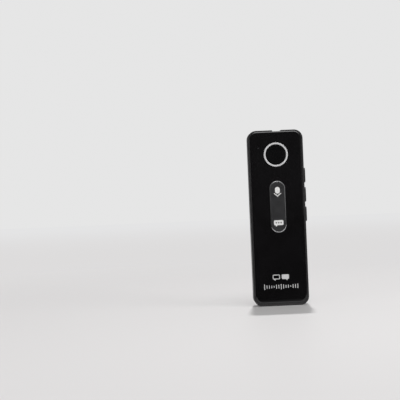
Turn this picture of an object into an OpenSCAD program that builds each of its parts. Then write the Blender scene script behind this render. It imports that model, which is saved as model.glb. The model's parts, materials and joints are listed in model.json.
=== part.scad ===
// Handheld voice translator: a slim stick with a glossy front panel, a round ring key,
// a long talk key and three side keys. It stands on its bottom end and its front faces -Y.
// The origin is the middle of the bottom face. Lengths are in millimetres.

/* [Body] */
// Width of the body across the front
body_w = 33; // [32:0.5:40]
// Height of the body from end to end
body_h = 105; // [103:1:125]
// Thickness from the front panel's face to the back
body_t = 11; // [10.9:0.1:13]
// Radius of the four corners seen from the front
corner_r = 5.2; // [4.2:0.1:5.6]
// Rounding of the front housing's rim
front_edge_r = 0.5; // [0.3:0.1:0.5]
// Rounding of the rear cover's edge
rear_edge_r = 2; // [1:0.1:2.4]
// Thickness of the side and end walls
wall = 1.2; // [1:0.05:1.4]
// Thickness of the deck that carries the front panel
deck_t = 1; // [0.8:0.05:1.2]
// Thickness of the rear cover's back wall
rear_wall = 1.2; // [1.1:0.05:1.4]
// Depth of the rear cover, from the parting line to the back
cover_d = 2.9; // [2.6:0.1:3.1]

/* [Front panel] */
// Rim left beside the panel
panel_margin = 1.25; // [0.9:0.05:2.5]
// Rim left above the panel
panel_top_margin = 0.7; // [0.6:0.05:2.5]
// Rim left below the panel
panel_low_margin = 1.75; // [0.9:0.05:2.5]
// Thickness of the panel
panel_t = 0.8; // [0.6:0.05:1]
// Radius of the panel's corners
panel_corner_r = 4.2; // [3.6:0.1:4.6]
// Depth of the slope round the panel's front edge
panel_bevel = 0.3; // [0.1:0.05:0.4]
// Width of the slope round the panel's front edge
panel_bevel_w = 0.6; // [0.3:0.05:1]
// How far the panel stands in front of the rim
panel_proud = 0.2; // [0.05:0.01:0.3]
// Thickness of the adhesive film under the panel
tape_t = 0.12; // [0.05:0.01:0.25]

/* [Ring key] */
// Centre of the ring below the top end
ring_drop = 14.6; // [14:0.1:16]
// Outside diameter of the ring trim
ring_od = 14.4; // [13:0.1:15.5]
// Radial width of the ring trim
ring_w = 1.1; // [1:0.05:1.8]
// How far the ring trim stands in front of the panel
ring_proud = 0.1; // [0.05:0.01:0.3]
// Depth of the hollow in the key's face
ring_dish = 0.25; // [0.1:0.05:0.5]

/* [Talk key] */
// Centre of the talk key below the top end
talk_drop = 45.7; // [42.5:0.1:50]
// Length of the talk key
talk_len = 30.8; // [27:0.1:34]
// Width of the talk key
talk_w = 9.2; // [8:0.1:11]
// How far the talk key stands in front of the panel
talk_rise = 0.6; // [0.45:0.05:1]
// Bevel of the trim round the talk key's face
talk_bevel = 0.7; // [0.3:0.05:1]
// Flat land of the trim between its bevel and the talk key's face
talk_land = 0.12; // [0.05:0.01:0.4]
// Distance between the two switches under the talk key
talk_switch_gap = 18; // [12:0.5:20]

/* [Side keys] */
// Centre of the middle side key below the top end
side_drop = 39.1; // [38:0.1:46]
// Distance from one side key to the next
side_pitch = 11.6; // [10.8:0.1:12.5]
// Length of a side key
side_len = 8.8; // [7:0.1:9.2]
// Width of a side key
side_w = 2.8; // [2.2:0.1:2.9]
// How far a side key stands out of the wall
side_rise = 1; // [0.5:0.05:1.1]
// Bevel round a side key's face
side_bevel = 0.3; // [0.1:0.05:0.45]

/* [Key action] */
// How far a key goes in when pressed
travel = 0.35; // [0.2:0.01:0.4]
// Clearance all round a key in its hole
key_gap = 0.1; // [0.06:0.01:0.2]
// Play between a resting key's flange and the wall that stops it
key_play = 0.05; // [0.03:0.01:0.1]
// Thickness of the flange that keeps a front key in
flange_t = 0.6; // [0.45:0.05:0.7]
// How far a front key's flange reaches past its face
flange_lip = 0.9; // [0.6:0.05:1]

/* [Lanyard pocket] */
// Width of the pocket in the top end
notch_w = 4.9; // [4:0.1:6]
// Distance of the pocket from the middle of the body
notch_x = 0.9; // [-1:0.1:1]
// Depth of the pocket below the top end
notch_d = 5.4; // [5:0.1:5.8]
// Diameter of the steel bar across the pocket
bar_d = 1.5; // [1.2:0.1:1.6]

/* [Charging socket] */
// Width of the socket's steel shell
usb_w = 8.94; // [8.8:0.02:9.1]
// Thickness of the socket's steel shell
usb_h = 3.16; // [3.1:0.02:3.3]
// Length of the socket's steel shell
usb_len = 7.35; // [6.8:0.05:8]
// Distance from the bottom face to the socket's mouth
usb_inset = 0.5; // [0.2:0.05:0.8]

/* [Board] */
// Thickness of the circuit board
board_t = 1; // [0.8:0.05:1.1]
// Distance from the deck to the board
standoff = 2.68; // [2.6:0.02:2.8]
// Gap between the board's long edges and the walls
board_gap = 1.7; // [1.5:0.1:2]

/* [Battery] */
// Width of the battery cell
cell_w = 20; // [16:0.5:20]
// Gap between the battery cell and the speaker
cell_clear = 4; // [4:0.5:10]
// Thickness of the battery cell
cell_t = 3.8; // [3.2:0.05:3.85]
// Upper end of the battery cell below the top end of the body
cell_drop = 25; // [24:0.5:27]

/* [Speaker] */
// Diameter of the speaker
speaker_d = 20; // [17:0.5:21]
// Thickness of the speaker
speaker_t = 3.4; // [3:0.05:3.6]
// Centre of the speaker above the bottom end
speaker_rise = 24; // [23.5:0.5:25]
// Diameter of the grille disc in the rear cover
grille_d = 18; // [15:0.5:18]
// Thickness of the grille disc
grille_t = 0.4; // [0.3:0.05:0.5]
// Diameter of each hole in the grille
grille_hole_d = 0.9; // [0.6:0.05:1]
// Distance from one grille hole to the next
grille_pitch = 1.6; // [1.5:0.05:2.2]

/* [Microphone and light] */
// Diameter of the microphone capsule
mic_d = 4; // [3:0.1:4.2]
// Length of the microphone capsule
mic_len = 1.5; // [1:0.1:1.8]
// Distance of the microphone from the middle of the body
mic_x = 9; // [8.9:0.1:9.6]
// Diameter of the sound hole in the bottom end
mic_hole_d = 1; // [0.6:0.1:1.6]
// Diameter of the status light's window
light_d = 0.8; // [0.6:0.1:1.2]
// Distance of the status light from the middle of the body
light_x = 10.4; // [10.2:0.1:10.8]
// Status light below the top end
light_drop = 10.6; // [10:0.1:12]

/* [Hidden] */
$fn = 48;
eps = 0.01;
// How far a cut runs past what it cuts
over = 1;
// Smallest corner radius of an inset outline
min_corner_r = 0.4;

// Depth stack, from the panel's face back to the rear wall
face_y = -body_t / 2;
back_y = body_t / 2;
rim_y = face_y + panel_proud;
seat_y = face_y + panel_t + tape_t;
deck_y = seat_y + deck_t;
split_y = back_y - cover_d;
inner_back_y = back_y - rear_wall;
board_y = deck_y + standoff;
board_rear_y = board_y + board_t;

// Inside of the walls
inner_x = body_w / 2 - wall;
inner_top_z = body_h - wall;

// Heights of the keys and lights
ring_z = body_h - ring_drop;
talk_z = body_h - talk_drop;
light_z = body_h - light_drop;
side_z = [for (i = [1, 0, -1]) body_h - side_drop + i * side_pitch];

// Front panel
panel_w = body_w - 2 * panel_margin;
panel_h = body_h - panel_top_margin - panel_low_margin;
panel_z = panel_low_margin + panel_h / 2;
panel_gap = 0.08;
tape_inset = 0.3;
tape_gap = 0.5;

// Front keys: a face bonded to a carrier whose flange stops behind the deck
ring_key_d = ring_od - 2 * ring_w - 2 * key_gap;
ring_bevel = 0.2;
ring_land = 0.6;
arc_fn = 900;
carrier_inset = 0.1;
carrier_front_y = seat_y + 0.28;
flange_y = deck_y + key_play;
flange_end_y = flange_y + flange_t;
talk_fit = 0.02;
collar_gap = 0.15;
collar_t = 0.8;
collar_h = 1.2;

// Switches under the front keys
switch_w = 4.5;
switch_h = 0.95;
switch_cap_t = 0.2;
switch_cap_inset = 0.2;
switch_base_t = 0.1;
switch_leg_w = 0.8;
switch_leg_h = 0.7;
switch_leg_t = 0.2;
switch_leg_z = 1.5;
plunger_d = 2;
plunger_rise = travel + 0.15;
plunger_foot = 0.35;
plunger_gap = 0.05;
post_d = 2.4;
plunger_tip_y = board_y - switch_h - plunger_rise;

// Side keys and their switches
side_flange_t = 0.5;
side_flange_lip_z = 0.6;
side_flange_lip_y = 0.35;
side_flange_r = 0.6;
side_nub_d = 1.4;
side_switch_w = 4.7;
side_switch_h = 1.7;
side_switch_d = 2.4;
side_plunger_rise = travel + 0.15;
side_plunger_d = 1.2;
side_plunger_foot = 0.4;
side_switch_hole = 0.9;
side_cap_t = 0.3;
side_cap_len = 3.2;
side_leg = 0.8;
side_leg_x = 1.6;
slot_bevel = 0.2;
side_nub_len = 0.45;
side_y = board_y - side_switch_h / 2;
side_flange_x = inner_x - key_play - side_flange_t;
side_tip_x = side_flange_x - side_nub_len;
side_switch_x = side_tip_x - side_plunger_rise;

// Lanyard pocket
pocket_wall = 1;
bar_seat = 0.95;
bar_gap = 0.02;
bar_hide = 0.85;
bar_z = body_h - panel_top_margin - bar_hide - bar_d / 2;
bar_y = 1.4;
notch_z = body_h - notch_d;
pocket_back_gap = 0.05;
bar_end_gap = 0.05;
notch_bevel = 0.3;

// Rear cover: a locating lip with hooks inside the front housing's walls
lip_gap = 0.08;
lip_t = 0.7;
lip_h = 1;
lip_x = inner_x - lip_gap;
hook_w = 5;
hook_reach = 0.35;
hook_h = 0.6;
hook_land = 0.1;
hook_gap = 0.1;
hook_y = split_y - 0.25;
hook_rise = 16;
hook_below_keys = 12.3;
hook_drop = 14;
hook_z = [hook_rise, side_z[2] - hook_below_keys, body_h - hook_drop];

// Fine groove where the two halves of the casing meet
parting_w = 0.12;
parting_d = 0.2;

// Charging socket
usb_y = board_rear_y + 0.4;
usb_wall = 0.3;
usb_hole_gap = 0.13;
usb_end_z = usb_inset + usb_len;
usb_bevel = 0.25;
usb_tab_reach = 1.2;
usb_tab_w = 1.1;
usb_tab_t = 0.3;
usb_tab_z = [2.4, 5.8];
tongue_w = 6.7;
tongue_t = 0.7;
tongue_inset = 0.7;
tongue_root = 1.5;
contact_pitch = 0.5;
contact_w = 0.25;
contact_t = 0.06;
contact_len = 3.8;
contact_inset = 1.2;
contact_count = 12;

// Circuit board, its bosses and screws
board_w = 2 * (inner_x - board_gap);
board_low_z = wall + 0.4;
board_top_z = notch_z - pocket_wall - 0.4;
board_corner_r = 1.5;
board_usb_gap = 0.1;
board_mic_gap = 1.4;
boss_inset = 2.2;
boss_x = board_w / 2 - boss_inset;
boss_d = 3.4;
boss_flare = 0.5;
screw_d = 1.5;
screw_len = 3;
screw_end_gap = 0.1;
screw_head_d = 2.7;
screw_head_t = 0.8;
screw_gap = 0.02;
screw_hole_gap = 0.15;
cross_len = 1.6;
cross_w = 0.35;
cross_deep = 0.4;
boss_low_z = 8.8;
boss_mid_z = speaker_rise + speaker_d / 2 + cell_clear / 2;
boss_left_drop = 22;
boss_right_drop = 9.5;
bosses = [
    [-boss_x, body_h - boss_left_drop], [boss_x, body_h - boss_right_drop],
    [-boss_x, boss_mid_z], [boss_x, boss_mid_z],
    [-boss_x, boss_low_z], [boss_x, boss_low_z]
];

// Ribs on the deck's rear, from the lower bosses up to the talk key
rib_t = 0.8;
rib_h = 0.6;
rib_x = 6.5;
rib_low_z = boss_low_z + 1.2;
rib_high_z = talk_z - talk_len / 2 - 4;
rib_rows = 3;

// Chips on the board's front, round the speaker's height and along the board's edges
chip_inset = 4;
chip_x = board_w / 2 - chip_inset;
chip_t = 0.8;
radio_z = speaker_rise + 2;
radio_chip_w = 7;
shield_w = 12;
shield_h = 13;
shield_t = 1.7;
shield_wall = 0.2;
shield_hole_d = 0.8;
shield_hole_pitch = 2;
power_chip_w = 4;
power_chip_z = speaker_rise - 5;
memory_chip_w = 4;
memory_chip_h = 5;
audio_chip_w = 3;
audio_chip_z = speaker_rise - 8;
crystal_w = 3.2;
crystal_h = 2.5;
crystal_z = speaker_rise + 4;
coil_w = 3;
coil_t = 1.2;
coil_x = -4.4;
coil_pitch = 3.7;
coil_z = speaker_rise - 11.5;
passive_w = 0.5;
passive_len = 1;
passive_t = 0.45;
passive_pitch = 2.2;
passive_edge_x = board_w / 2 - 1.6;
passive_edge_z = speaker_rise - 7;
antenna_x = 4.6;
antenna_w = 6;
antenna_h = 2;
antenna_t = 1;
antenna_drop = 1.2;

// Battery
cell_tape_t = 0.15;
cell_edge_r = 1.2;
cell_top_z = body_h - cell_drop;
cell_low_z = speaker_rise + speaker_d / 2 + cell_clear;
cell_y = board_rear_y + cell_tape_t;
cell_tape_inset = 1.5;
cell_tape_end = 2;
flap_inset = 1;
flap_t = 0.3;
guard_inset = 1.5;
guard_len = 3.2;
guard_t = 1.6;
foam_w = 12;
foam_end = 4;
lead_d = 0.9;
lead_pitch = 1.5;
lead_spread = 2.6;
lead_bend = 1.4;
plug_rise = 4.5;
plug_z = cell_top_z + guard_len + plug_rise;
plug_w = 5;
plug_len = 4;
plug_t = 2.2;
plug_slot_w = 0.6;
plug_slot_d = 0.5;
plug_slot_z = [-1.2, 0.4];

// Walls of the battery bay and cross ribs on the rear cover
bay_gap = 0.4;
bay_t = 0.7;
bay_h = 1.8;
bay_x = cell_w / 2 + bay_gap;
cross_rib_h = 1;
cross_rib_z = [plug_z - 4.2, plug_z + 4.2];

// Speaker
magnet_d = 13;
magnet_t = 1.6;
basket_wall = 0.7;
basket_hole_d = 1.8;
basket_hole_x = (magnet_d / 2 + speaker_d / 2 - basket_wall) / 2;
surround_w = 0.8;
cone_d = speaker_d - 2 * basket_wall - 2 * surround_w;
cone_t = 0.2;
cone_fall = 1.4;
dome_d = 5.2;
dome_flat = 1;
dome_rise = 0.5;
gasket_w = 1.5;
mesh_t = 0.1;
window_d = grille_d - 2.5;
grille_edge = 0.2;
grille_recess = grille_t + 0.05;
grille_gap = 0.05;
cradle_gap = 0.2;
cradle_t = 0.6;
cradle_h = 2;
speaker_lead_pitch = 1.5;

// Microphone
mic_boot_t = 0.5;
mic_floor_t = 0.3;
mic_boot_step = 0.3;
mic_boot_gap = 0.1;
mic_hole_bevel = 0.2;
mic_port_t = 0.4;
mic_pin_x = 0.9;
mic_pin_d = 0.4;
mic_pin_len = 1.8;
mic_cradle_t = 0.6;
mic_cradle_gap = 0.05;
mic_cradle_d = mic_d + 2 * (mic_boot_t + mic_cradle_gap);

// Status light
led_h = 0.6;
led_w = 1.6;
led_len = 1;
light_gap = 0.05;
light_flange_d = 2.2;
light_flange_t = 0.5;
light_stem_d = 1.2;

// ---- Shapes that repeat ----

// Plate from a 2D outline in (x, z), from front_y back by t
module plate(front_y, t) {
    translate([0, front_y + t, 0]) rotate([90, 0, 0]) linear_extrude(t) children();
}

// Rod along the depth at (x, z), from front_y back by t
module rod(x, z, front_y, t, d) {
    translate([x, front_y + t, z]) rotate([90, 0, 0]) cylinder(h = t, d = d);
}

// Cone along the depth at (x, z), from diameter d1 at front_y to d2
module taper(x, z, front_y, t, d1, d2) {
    translate([x, front_y + t, z]) rotate([90, 0, 0]) cylinder(h = t, d1 = d2, d2 = d1);
}

module round_rect(w, h, r) {
    square([w - 2 * r, h], center = true);
    square([w, h - 2 * r], center = true);
    for (sx = [-1, 1], sz = [-1, 1])
        translate([sx * (w / 2 - r), sz * (h / 2 - r)]) circle(r);
}

// Stadium outline, long in the second direction
module pill(len, w) {
    square([w, len - w], center = true);
    for (s = [-1, 1])
        translate([0, s * (len - w) / 2]) circle(d = w);
}

// Stadium block on the depth axis with a bevel round its front face
module bevelled_pill(front_y, t, len, w, bevel) {
    plate(front_y + bevel, t - bevel) pill(len, w);
    for (s = [-1, 1])
        taper(0, s * (len - w) / 2, front_y, bevel, w - 2 * bevel, w);
    linear_extrude(len - w, center = true)
        polygon([
            [-w / 2 + bevel, front_y], [w / 2 - bevel, front_y],
            [w / 2, front_y + bevel], [-w / 2, front_y + bevel]
        ]);
}

// Half of an edge section: from the axis out to reach, rounded at both outer corners
module edge_section(reach, t, low_r, high_r) {
    intersection() {
        square([reach, t]);
        union() {
            translate([0, low_r]) square([reach, t - low_r - high_r]);
            square([reach - low_r, t]);
            translate([0, t - high_r - eps]) square([reach - high_r, high_r + eps]);
            translate([reach - low_r, low_r]) circle(low_r);
            translate([reach - high_r, t - high_r]) circle(high_r);
        }
    }
}

// Full edge section across a width w
module slab_section(w, t, low_r, high_r) {
    translate([-w / 2, low_r]) square([w, t - low_r - high_r]);
    for (s = [-1, 1]) {
        translate([s * (w / 2 - low_r), low_r]) circle(low_r);
        translate([s * (w / 2 - high_r), t - high_r]) circle(high_r);
    }
    translate([-w / 2 + low_r, 0]) square([w - 2 * low_r, low_r + eps]);
    translate([-w / 2 + high_r, t - high_r - eps]) square([w - 2 * high_r, high_r + eps]);
}

// Block with round corners and rolled edges, standing on its rear face
module soft_slab(w, h, t, corner, rear_r, front_r) {
    for (sx = [-1, 1], sz = [-1, 1])
        translate([sx * (w / 2 - corner), sz * (h / 2 - corner)])
            rotate_extrude() edge_section(corner, t, rear_r, front_r);
    rotate([90, 0, 0])
        linear_extrude(h - 2 * corner, center = true) slab_section(w, t, rear_r, front_r);
    rotate([90, 0, 90])
        linear_extrude(w - 2 * corner, center = true) slab_section(h, t, rear_r, front_r);
}

// Outer form of the closed casing, without the panel
module casing_form() {
    translate([0, back_y, body_h / 2]) rotate([90, 0, 0])
        soft_slab(body_w, body_h, back_y - rim_y, corner_r, rear_edge_r, front_edge_r);
}

// Outline of the body, shrunk by inset on every side
module body_outline(inset) {
    translate([0, body_h / 2])
        round_rect(body_w - 2 * inset, body_h - 2 * inset, max(corner_r - inset, min_corner_r));
}

// Box from one corner to the other
module span(low, high) {
    translate(low) cube(high - low);
}

// Point at share t of the curve that starts at c[0], ends at c[3] and leans on c[1] and c[2]
function curve_point(c, t) = pow(1 - t, 3) * c[0] + 3 * t * pow(1 - t, 2) * c[1]
    + 3 * t * t * (1 - t) * c[2] + pow(t, 3) * c[3];

// Ring of points round a curve at share t
function curve_ring(c, t, r, sides) =
    let (
        ahead = curve_point(c, t + 0.01) - curve_point(c, t - 0.01),
        along = ahead / norm(ahead),
        across = cross(along, [0, 1, 0]),
        u = across / norm(across),
        v = cross(along, u)
    )
    [
        for (k = [0 : sides - 1])
            let (a = 360 * k / sides) curve_point(c, t) + r * (cos(a) * u + sin(a) * v)
    ];

// Insulated lead along a curve with four control points
module lead(c, d, sides = 10, rings = 8) {
    points = [for (i = [0 : rings]) each curve_ring(c, i / rings, d / 2, sides)];
    skin = [
        for (i = [0 : rings - 1], k = [0 : sides - 1])
            let (n = (k + 1) % sides, low = i * sides, high = (i + 1) * sides)
                [low + k, high + k, high + n, low + n]
    ];
    low_end = [for (k = [0 : sides - 1]) k];
    high_end = [for (k = [sides - 1 : -1 : 0]) rings * sides + k];
    polyhedron(points, concat([low_end], skin, [high_end]), convexity = 4);
}

// Surface-mounted part on the board's front, centred on (x, z)
module front_part(x, z, w, h, t) {
    span([x - w / 2, board_y - t, z - h / 2], [x + w / 2, board_y, z + h / 2]);
}

// Surface-mounted part on the board's rear, centred on (x, z)
module rear_part(x, z, w, h, t) {
    span([x - w / 2, board_rear_y, z - h / 2], [x + w / 2, board_rear_y + t, z + h / 2]);
}

// ---- Casing ----

// Guide wall round the ring key's flange
module ring_collar() {
    inner_d = ring_key_d + 2 * (flange_lip + collar_gap);
    plate(deck_y - eps, collar_h + eps) difference() {
        circle(d = inner_d + 2 * collar_t);
        circle(d = inner_d);
    }
}

// Guide wall round the talk key's flange
module talk_collar() {
    grow = 2 * (flange_lip + collar_gap);
    plate(deck_y - eps, collar_h + eps) difference() {
        pill(talk_len + grow + 2 * collar_t, talk_w + grow + 2 * collar_t);
        pill(talk_len + grow, talk_w + grow);
    }
}

module lanyard_box() {
    span([notch_x - notch_w / 2 - pocket_wall, deck_y - eps, notch_z - pocket_wall],
        [notch_x + notch_w / 2 + pocket_wall, inner_back_y - pocket_back_gap, inner_top_z]);
}

// Pocket in the top end and the notch in front of it, with a bevel along both upper edges
module lanyard_notch() {
    low_x = notch_x - notch_w / 2;
    high_x = notch_x + notch_w / 2;
    span([low_x, face_y - over, body_h - panel_top_margin + panel_gap],
        [high_x, back_y + over, body_h + over]);
    span([low_x, deck_y, notch_z], [high_x, back_y + over, body_h + over]);
    plate(face_y - over, body_t + 2 * over) translate([notch_x, body_h])
        polygon([
            [-notch_w / 2, -notch_bevel], [notch_w / 2, -notch_bevel],
            [notch_w / 2 + notch_bevel + eps, eps], [-notch_w / 2 - notch_bevel - eps, eps]
        ]);
}

// Boss on the deck's rear that carries the board, with a flared foot
module board_boss(x, z) {
    rod(x, z, deck_y - eps, standoff + eps, boss_d);
    taper(x, z, deck_y - eps, boss_flare + eps, boss_d + 2 * boss_flare, boss_d);
}

module deck_ribs() {
    step = (rib_high_z - rib_low_z) / rib_rows;
    for (s = [-1, 1])
        span([s * rib_x - rib_t / 2, deck_y - eps, rib_low_z],
            [s * rib_x + rib_t / 2, deck_y + rib_h, rib_high_z]);
    for (i = [0 : rib_rows])
        span([-inner_x - eps, deck_y - eps, rib_low_z + i * step - rib_t / 2],
            [inner_x + eps, deck_y + rib_h, rib_low_z + i * step + rib_t / 2]);
}

// Open ring round the microphone's boot, cut off at the parting line
module mic_cradle() {
    intersection() {
        translate([mic_x, usb_y, wall - eps]) difference() {
            cylinder(h = mic_len, d = mic_cradle_d + 2 * mic_cradle_t);
            translate([0, 0, -eps]) cylinder(h = mic_len + over, d = mic_cradle_d);
        }
        span([0, deck_y, 0], [body_w, split_y - lip_gap, body_h]);
    }
}

// Slot through the right wall for a side key, with a bevel round its outer edge
module side_key_slot(z) {
    len = side_len + 2 * key_gap;
    w = side_w + 2 * key_gap;
    out_x = body_w / 2;
    translate([inner_x - eps, side_y, z]) rotate([90, 0, 90])
        linear_extrude(wall + over) pill(len, w);
    translate([0, side_y, z]) rotate([0, 0, -90])
        bevelled_pill(out_x - slot_bevel, slot_bevel + over, len + 2 * slot_bevel,
            w + 2 * slot_bevel, slot_bevel);
}

// Hole in the bottom end for the charging socket, with a bevel round its mouth
module charging_hole() {
    len = usb_w + 2 * usb_hole_gap;
    w = usb_h + 2 * usb_hole_gap;
    translate([0, usb_y, -eps]) linear_extrude(wall + 2 * eps) rotate(90) pill(len, w);
    translate([0, usb_y, 0]) rotate([90, 0, 90]) mirror([0, 1, 0])
        bevelled_pill(-usb_bevel, usb_bevel + over, len + 2 * usb_bevel, w + 2 * usb_bevel, usb_bevel);
}

module front_housing_openings() {
    plate(face_y - over, seat_y - face_y + over) body_outline_panel(panel_gap);
    rod(0, ring_z, seat_y - eps, deck_t + 2 * eps, ring_key_d + 2 * key_gap);
    translate([0, 0, talk_z])
        plate(seat_y - eps, deck_t + 2 * eps) pill(talk_len + 2 * key_gap, talk_w + 2 * key_gap);
    rod(-light_x, light_z, seat_y - eps, deck_t + 2 * eps, light_d + 2 * light_gap);
    for (z = side_z) side_key_slot(z);
    lanyard_notch();
    charging_hole();
    translate([mic_x, usb_y, -eps]) cylinder(h = wall + 2 * eps, d = mic_hole_d);
    translate([mic_x, usb_y, -eps])
        cylinder(h = mic_hole_bevel + eps, r1 = mic_hole_d / 2 + mic_hole_bevel + eps, r2 = mic_hole_d / 2);
    translate([notch_x, bar_y, bar_z]) rotate([0, 90, 0])
        cylinder(h = notch_w + 2 * bar_seat, d = bar_d + 2 * bar_gap, center = true);
    for (b = bosses)
        rod(b[0], b[1], board_y - screw_len + board_t, screw_len, screw_d + 2 * screw_gap);
    for (z = hook_z, m = [0, 1])
        translate([0, 0, z]) mirror([m, 0, 0])
            span([inner_x - eps, hook_y - hook_h - hook_gap, -hook_w / 2 - hook_gap],
                [inner_x + hook_reach + hook_gap, hook_y + hook_gap, hook_w / 2 + hook_gap]);
}

// Outline of the front panel, grown by gap on every side
module body_outline_panel(gap) {
    translate([0, panel_z])
        round_rect(panel_w + 2 * gap, panel_h + 2 * gap, panel_corner_r + gap);
}

module front_housing() {
    color("#3a3a3c") difference() {
        union() {
            difference() {
                intersection() {
                    casing_form();
                    span([-body_w, face_y - over, -over], [body_w, split_y, body_h + over]);
                }
                plate(deck_y, split_y - deck_y + over) body_outline(wall);
            }
            for (b = bosses) board_boss(b[0], b[1]);
            translate([0, 0, ring_z]) ring_collar();
            translate([0, 0, talk_z]) talk_collar();
            deck_ribs();
            mic_cradle();
            lanyard_box();
        }
        front_housing_openings();
    }
}

module cover_hooks() {
    for (z = hook_z, m = [0, 1])
        mirror([m, 0, 0]) translate([lip_x, 0, z])
            linear_extrude(hook_w, center = true)
                polygon([
                    [-eps, hook_y - hook_h], [hook_reach + lip_gap, hook_y - hook_land],
                    [hook_reach + lip_gap, hook_y], [-eps, hook_y]
                ]);
}

// Where the cover's lip is left out, over the charging socket, and the hollow for the boot
module lip_gap_at_bottom() {
    span([-usb_w / 2 - usb_tab_reach - lip_gap, split_y - lip_h - over, 0],
        [mic_x + mic_cradle_d / 2 + mic_cradle_t + lip_gap, split_y, wall + lip_gap + lip_t + eps]);
    translate([mic_x, usb_y, wall - mic_cradle_gap]) cylinder(h = mic_len + over, d = mic_cradle_d);
}

// Walls beside the battery cell and two cross ribs above it
module cover_ribs() {
    for (s = [-1, 1])
        span([s * (bay_x + bay_t / 2) - bay_t / 2, inner_back_y - bay_h, cell_low_z],
            [s * (bay_x + bay_t / 2) + bay_t / 2, inner_back_y + eps, cell_top_z]);
    for (z = cross_rib_z)
        span([-bay_x, inner_back_y - cross_rib_h, z - bay_t / 2],
            [bay_x, inner_back_y + eps, z + bay_t / 2]);
}

// Groove round the outside of the cover, at its edge
module parting_groove() {
    plate(split_y - eps, parting_w + eps) difference() {
        body_outline(-over);
        body_outline(parting_d);
    }
}

module rear_cover() {
    color("#3a3a3c") difference() {
        union() {
            difference() {
                union() {
                    intersection() {
                        casing_form();
                        span([-body_w, split_y, -over], [body_w, back_y + over, body_h + over]);
                    }
                    plate(split_y - lip_h, lip_h + eps) body_outline(wall + lip_gap);
                }
                plate(split_y - lip_h - over, inner_back_y - split_y + lip_h + over)
                    body_outline(wall + lip_gap + lip_t);
            }
            cover_hooks();
            cover_ribs();
            translate([0, 0, speaker_rise]) plate(inner_back_y - cradle_h, cradle_h + eps)
                difference() {
                    circle(d = speaker_d + 2 * cradle_gap + 2 * cradle_t);
                    circle(d = speaker_d + 2 * cradle_gap);
                }
        }
        // Room for the lanyard box of the front housing, and the notch itself
        span([notch_x - notch_w / 2 - pocket_wall - lip_gap, split_y - lip_h - over,
                notch_z - pocket_wall - lip_gap],
            [notch_x + notch_w / 2 + pocket_wall + lip_gap, inner_back_y, inner_top_z + lip_gap]);
        lanyard_notch();
        parting_groove();
        lip_gap_at_bottom();
        rod(0, speaker_rise, inner_back_y - eps, rear_wall + over, window_d);
        rod(0, speaker_rise, back_y - grille_recess, grille_recess + over, grille_d + 2 * grille_gap);
    }
}

module front_panel() {
    color("#0e0e10") difference() {
        union() {
            plate(face_y + panel_bevel, panel_t - panel_bevel) body_outline_panel(0);
            translate([0, face_y + panel_bevel + eps, panel_z]) rotate([90, 0, 0])
                panel_bevel_form();
        }
        rod(0, ring_z, face_y - over, panel_t + 2 * over, ring_od + 2 * panel_gap);
        translate([0, 0, talk_z])
            plate(face_y - over, panel_t + 2 * over) pill(talk_len + 2 * key_gap, talk_w + 2 * key_gap);
        rod(-light_x, light_z, face_y - over, panel_t + 2 * over, light_d + 2 * light_gap);
    }
}

// Sloped upper layer of the panel: a flat middle, sloped sides and cones at the corners
module panel_bevel_form() {
    b = panel_bevel + eps;
    for (sx = [-1, 1], sz = [-1, 1])
        translate([sx * (panel_w / 2 - panel_corner_r), sz * (panel_h / 2 - panel_corner_r)])
            cylinder(h = b, r1 = panel_corner_r, r2 = panel_corner_r - panel_bevel_w);
    rotate([90, 0, 0]) linear_extrude(panel_h - 2 * panel_corner_r, center = true)
        bevel_section(panel_w, b);
    rotate([90, 0, 90]) linear_extrude(panel_w - 2 * panel_corner_r, center = true)
        bevel_section(panel_h, b);
}

module bevel_section(w, b) {
    polygon([
        [-w / 2, 0], [w / 2, 0],
        [w / 2 - panel_bevel_w, b], [-w / 2 + panel_bevel_w, b]
    ]);
}

module panel_tape() {
    color("#202020") plate(seat_y - tape_t, tape_t) difference() {
        translate([0, panel_z])
            round_rect(panel_w - 2 * tape_inset, panel_h - 2 * tape_inset, panel_corner_r - tape_inset);
        translate([0, ring_z]) circle(d = ring_od + 2 * panel_gap + 2 * tape_gap);
        translate([0, talk_z])
            pill(talk_len + 2 * key_gap + 2 * tape_gap, talk_w + 2 * key_gap + 2 * tape_gap);
        translate([-light_x, light_z]) circle(d = light_d + 2 * light_gap + 2 * tape_gap);
    }
}

// ---- Front keys ----

module ring_trim() {
    id = ring_od - 2 * ring_w;
    h = seat_y - face_y + ring_proud;
    color("#c8c8ca") translate([0, seat_y, ring_z]) rotate([90, 0, 0]) rotate_extrude()
        polygon([
            [id / 2, 0], [ring_od / 2, 0], [ring_od / 2, h - ring_bevel],
            [ring_od / 2 - ring_bevel, h], [id / 2 + ring_bevel, h], [id / 2, h - ring_bevel]
        ]);
}

// Round key turned from a section with a bevelled rim and a hollow struck as an arc
module ring_key_cap() {
    r = ring_key_d / 2;
    h = carrier_front_y - face_y;
    hollow_r = r - ring_land;
    arc_r = (hollow_r * hollow_r + ring_dish * ring_dish) / (2 * ring_dish);
    color("#0e0e10") translate([0, carrier_front_y, ring_z]) rotate([90, 0, 0]) rotate_extrude()
        difference() {
            polygon([[0, 0], [r, 0], [r, h - ring_bevel], [r - ring_bevel, h], [0, h]]);
            translate([0, h - ring_dish + arc_r]) circle(arc_r, $fn = arc_fn);
        }
}

module front_carrier(len, w) {
    plate(carrier_front_y, flange_y - carrier_front_y + eps)
        pill(len - 2 * carrier_inset, w - 2 * carrier_inset);
    plate(flange_y, flange_t) pill(len + 2 * flange_lip, w + 2 * flange_lip);
}

module ring_key_carrier() {
    color("#2a2a2c") union() {
        translate([0, 0, ring_z]) {
            rod(0, 0, carrier_front_y, flange_y - carrier_front_y + eps, ring_key_d - 2 * carrier_inset);
            rod(0, 0, flange_y, flange_t, ring_key_d + 2 * flange_lip);
        }
        rod(0, ring_z, flange_end_y - eps, plunger_tip_y - flange_end_y + eps, post_d);
    }
}

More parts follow.
